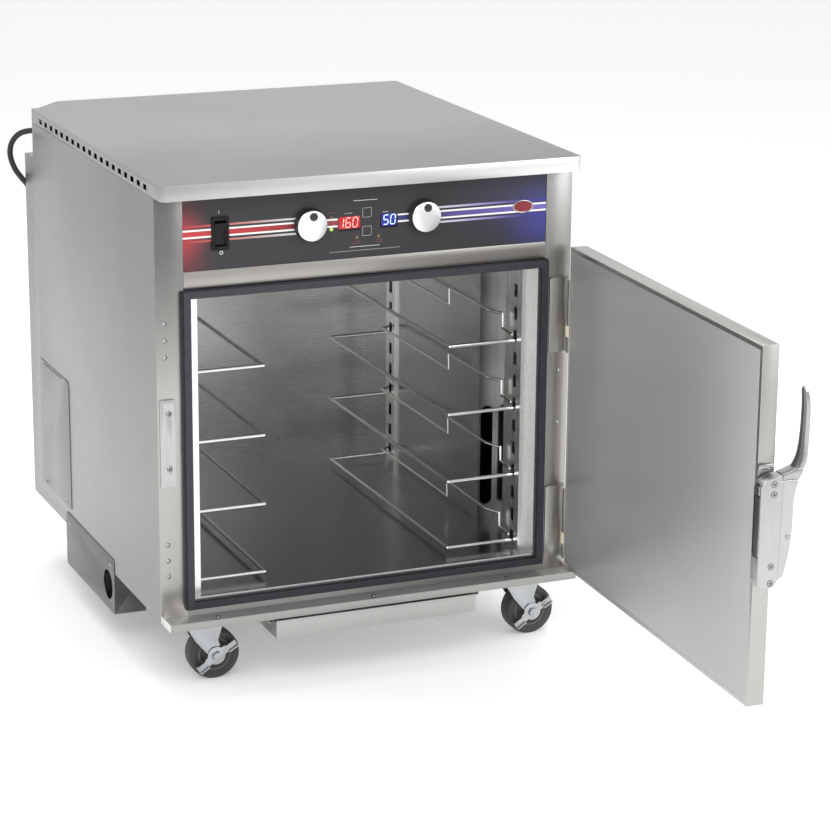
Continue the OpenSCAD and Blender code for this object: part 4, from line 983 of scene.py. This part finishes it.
grey_ink = ink("grey_ink", (0.36, 0.36, 0.38))
legend_red = ink("legend_red", (0.22, 0.045, 0.05))
dashes("legend_lower", 0.285, 0.402, 0.5735, 0.0010, grey_ink, 24)
dashes("legend_temperature", 0.310, 0.322, 0.6335, 0.0013, grey_ink, 3)
dashes("legend_humidity", 0.373, 0.382, 0.6315, 0.0013, grey_ink, 2)
for side, middle in (("left", 0.330), ("right", 0.3668)):
    dashes("legend_row_" + side, middle - 0.005, middle + 0.005, 0.5878, 0.0010, legend_red, 2)
    dashes("legend_row_below_" + side, middle - 0.0065, middle + 0.0065, 0.5848, 0.0010, legend_red, 2)
dashes("legend_lamps", 0.2815, 0.2935, 0.6362, 0.0010, legend_red, 2)


def lit(name, color, strength):
    """A display's or lamp's own light, a little uneven over its window."""
    material = new_material(name, color, 0.22, Emission_Color=(*color, 1.0), Emission_Strength=strength)
    vary_roughness(material, noise(material, 900.0), 0.16, 0.30)
    return material


SEGMENTS = {"0": "abcdef", "1": "bc", "5": "acdfg", "6": "acdefg"}
DISPLAY_LEVEL = BODY_BASE + 0.6187
WINDOW_HALF = 0.0098
WINDOW_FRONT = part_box("displays")[0].y - corner.y
DIGIT_SLANT = 0.10


def seven_segments(name, text, centre_x, material):
    """Digits of seven slanted bars, standing just proud of the display's window."""
    bm = bmesh.new()
    width, height, pitch, bar = 0.0076, 0.0148, 0.0118, 0.0015
    half = height / 2
    ends = {"a": ((0, height), (width, height)), "b": ((width, half), (width, height)),
            "c": ((width, 0), (width, half)), "d": ((0, 0), (width, 0)), "e": ((0, 0), (0, half)),
            "f": ((0, half), (0, height)), "g": ((0, half), (width, half))}
    left = centre_x - (pitch * (len(text) - 1) + width) / 2
    level = DISPLAY_LEVEL - half
    for i, digit in enumerate(text):
        for key in SEGMENTS[digit]:
            (x0, z0), (x1, z1) = ends[key]
            along = Vector((x1 - x0, z1 - z0)).normalized()
            across = Vector((-along.y, along.x)) * bar / 2
            a = Vector((x0, z0)) + along * 0.0004
            b = Vector((x1, z1)) - along * 0.0004
            tip = along * bar / 2
            ring = [a, a + tip + across, b - tip + across, b, b - tip - across, a + tip - across]
            outline = [(left + i * pitch + p.x + DIGIT_SLANT * p.y, level + p.y) for p in ring]
            prism(bm, outline, "xz", WINDOW_FRONT - 0.0003, WINDOW_FRONT - 0.00002)
    piece(name, bm, material, "cabinet", place=on_cabinet)


red_glow = lit("red_window", (0.34, 0.006, 0.010), 0.50)
blue_glow = lit("blue_window", (0.012, 0.014, 0.22), 0.45)
for name, low, high, material in (("red_window", 0.2985, 0.3355, red_glow),
                                  ("blue_window", 0.3712, 0.3970, blue_glow)):
    bm = bmesh.new()
    outline = rounded((low, DISPLAY_LEVEL - WINDOW_HALF), (high, DISPLAY_LEVEL + WINDOW_HALF), 0.002)
    prism(bm, outline, "xz", WINDOW_FRONT - 0.0001, WINDOW_FRONT + 0.003)
    piece(name, bm, material, "cabinet", 0.0002, place=on_cabinet)
red_digit = lit("red_digits", (1.0, 0.34, 0.29), 1.1)
blue_digit = lit("blue_digits", (0.42, 0.58, 1.0), 1.15)
seven_segments("temperature_digits", "160", 0.3145, red_digit)
seven_segments("humidity_digits", "50", 0.3838, blue_digit)

green_lamp = lit("green_lamp", (0.35, 0.85, 0.10), 1.1)
amber_lamp = lit("amber_lamp", (0.16, 0.115, 0.05), 0.12)


def make_lamps():
    """The film's small lamps: the one on the left beside the lower line is lit green."""
    low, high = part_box("indicator_lights")
    lit_side = low.x + 0.012
    green_level = low.z + 0.025
    for name, material, keep in (("lamp_green", green_lamp, lambda c: c.x < lit_side and c.z < green_level),
                                 ("lamps_amber", amber_lamp, lambda c: c.x > lit_side or c.z > green_level)):
        bm = bmesh.new()
        bm.from_mesh(nodes["indicator_lights"].data)
        drop = [f for f in bm.faces if not keep(f.calc_center_median())]
        bmesh.ops.delete(bm, geom=drop, context="FACES")
        weld(bm, 1e-6)
        piece(name, bm, material, "cabinet", stands_for=("indicator_lights",), angle=50)


def make_marks():
    """An upright bar above the rocker and a ring below it, for on and off."""
    bm = bmesh.new()
    box(bm, (0.1034, PANEL_FACE - 0.0002, BODY_BASE + 0.649),
        (0.1042, PANEL_FACE - INK_BACK, BODY_BASE + 0.6535))
    place = Matrix.Translation((0.107, PANEL_FACE, BODY_BASE + 0.5878)) @ TO_FRONT
    lathe(bm, [(0.0021, 0.00002), (0.0029, 0.00002), (0.0029, 0.0002), (0.0021, 0.0002), (0.0021, 0.00002)],
          place, 32)
    weld(bm)
    print_piece("rocker_marks", bm, white_ink)


def make_badge():
    """A plain oval badge near the right end, dark red with a pale rim and no lettering."""
    place = (Matrix.Translation((0.614, PANEL_FACE, BODY_BASE + 0.622)) @ TO_FRONT
             @ Matrix.Diagonal((1.0, 0.56, 1.0, 1.0)))
    for name, profile, material in (
            ("badge_rim", [(0.0155, 0.00002), (0.0182, 0.00002), (0.0182, 0.0006), (0.0170, 0.0009),
                           (0.0155, 0.0006), (0.0155, 0.00002)], screw_steel),
            ("badge_field", [(0.0, 0.00002), (0.0156, 0.00002), (0.0156, 0.0005), (0.0, 0.0008)], badge_red)):
        bm = bmesh.new()
        lathe(bm, profile, place, 48)
        weld(bm)
        bmesh.ops.recalc_face_normals(bm, faces=bm.faces)
        print_piece(name, bm, material)


badge_red = grained("badge_red", (0.20, 0.014, 0.02), 0.3, 900.0, 0.05)
make_lamps()
make_marks()
make_badge()


def make_knob(name, node, joint):
    """Black skirt, spun metal face with a turned rim, and a black finger dimple."""
    centre = Vector(joints[joint]["pos_m"])
    low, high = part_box(node)
    base = high.y - 0.0002
    depth = high.y - low.y
    place = Matrix.Translation((centre.x, base, centre.z)) @ TO_FRONT
    face = spun_metal(name + "_face", (0.86, 0.86, 0.86), centre)

    def from_face(*points):
        """A profile whose heights are counted from the knob's face."""
        return [(radius, depth + height) for radius, height in points]

    bm = bmesh.new()
    skirt = [(0.0, 0.0), (0.0258, 0.0), (0.0262, 0.0006), (0.0262, 0.0028), (0.0256, 0.0036),
             (0.0252, 0.0040)]
    skirt += from_face((0.0247, -0.0036), (0.0242, -0.0030), (0.0, -0.0030))
    lathe(bm, skirt, place, 72)
    count = len(bm.faces)
    cap = from_face((0.0, -0.0031), (0.0236, -0.0031), (0.0241, -0.0026), (0.0241, -0.0011),
                    (0.0234, -0.0004), (0.0223, 0.0), (0.010, 0.0002), (0.0, 0.0003))
    lathe(bm, cap, place, 72)
    caps = len(bm.faces)
    dimple = from_face((0.0, -0.001), (0.0066, -0.001), (0.0066, 0.0007), (0.0061, 0.0011),
                       (0.0052, 0.0010), (0.0046, 0.0006), (0.0, 0.0005))
    lathe(bm, dimple, place @ Matrix.Translation((0.0014, 0.0146, 0.0)), 36)
    bm.faces.ensure_lookup_table()
    for metal_face in bm.faces[count:caps]:
        metal_face.material_index = 1
    bmesh.ops.recalc_face_normals(bm, faces=bm.faces)
    piece(name, bm, [black_knurl, face], nodes[node]["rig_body"], stands_for=(node,))


make_knob("temperature_dial", "knob_temperature", "temperature_turn")
make_knob("humidity_dial", "knob_humidity", "humidity_turn")
eased("switch_bezel", black_plastic, "black_plastic", 0.0008)
eased("power_rocker", black_plastic, "black_plastic", 0.0007)
for node in ("key_upper", "key_lower"):
    paint(node, overlay_material())


def key_outline(name, node):
    """Thin pale frame printed round a film key."""
    low, high = (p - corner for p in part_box(node))
    bm = bmesh.new()
    front = low.y - 0.00015
    outer = rounded((low.x - 0.0002, low.z - 0.0002), (high.x + 0.0002, high.z + 0.0002), 0.0030)
    inner = rounded((low.x + 0.0005, low.z + 0.0005), (high.x - 0.0005, high.z - 0.0005), 0.0023)
    rings = [[bm.verts.new((x, y, z)) for x, z in ring] for ring, y in
             ((outer, low.y - 0.00001), (outer, front), (inner, front), (inner, low.y - 0.00001))]
    closed_bands(bm, rings)
    piece(name, bm, grey_ink, nodes[node]["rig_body"], place=on_cabinet)


key_outline("key_upper_frame", "key_upper")
key_outline("key_lower_frame", "key_lower")


# ---- stage and lights ----

FLOOR_REACH = 30
FLOOR_GLOW = 0.21
# Height of the direction looked in, 1 being straight up, and how white the studio is there
STUDIO_LEVELS = ((0.0, 1.0), (0.45, 1.0), (0.66, 0.52), (0.90, 0.62))


def make_stage():
    bm = bmesh.new()
    for x, y in ((-1, -1), (1, -1), (1, 1), (-1, 1)):
        bm.verts.new((x * FLOOR_REACH, y * FLOOR_REACH, 0.0))
    bm.faces.new(bm.verts)
    mesh = bpy.data.meshes.new("floor")
    bm.to_mesh(mesh)
    bm.free()
    floor = placed("floor", mesh)
    pale = new_material("floor", (0.97, 0.97, 0.97), 0.7, Emission_Color=(1.0, 1.0, 1.0, 1.0),
                        Emission_Strength=FLOOR_GLOW)
    mesh.materials.append(pale)


def area_light(name, place, target, size, power):
    data = bpy.data.lights.new(name, "AREA")
    data.shape = "RECTANGLE"
    data.size, data.size_y = size
    data.energy = power
    light = placed(name, data)
    light.location = place
    light.rotation_euler = (Vector(target) - Vector(place)).to_track_quat("-Z", "Y").to_euler()


def make_world():
    """White studio walls that darken towards the ceiling."""
    world = bpy.data.worlds.new("studio")
    world.use_nodes = True
    bpy.context.scene.world = world
    background = world.node_tree.nodes["Background"]
    background.inputs["Strength"].default_value = 1.0
    place = node_of(world, "ShaderNodeTexCoord")
    split = node_of(world, "ShaderNodeSeparateXYZ")
    ramp = ramp_of(world, [(height, (level, level, level)) for height, level in STUDIO_LEVELS])
    join(world, place, "Generated", split, "Vector")
    join(world, split, "Z", ramp, "Fac")
    join(world, ramp, "Color", background, "Color")


make_stage()
make_world()
area_light("key", (-1.6, -2.6, 3.0), (0, 0, 0.4), (2.2, 1.6), 55)
area_light("front_right", (2.4, -3.2, 2.2), (0, 0, 0.5), (1.6, 2.2), 42)
area_light("top", (0.2, 0.8, 3.4), (0, 0.2, 0.4), (3.0, 2.4), 50)
bpy.context.scene.view_settings.view_transform = "Standard"
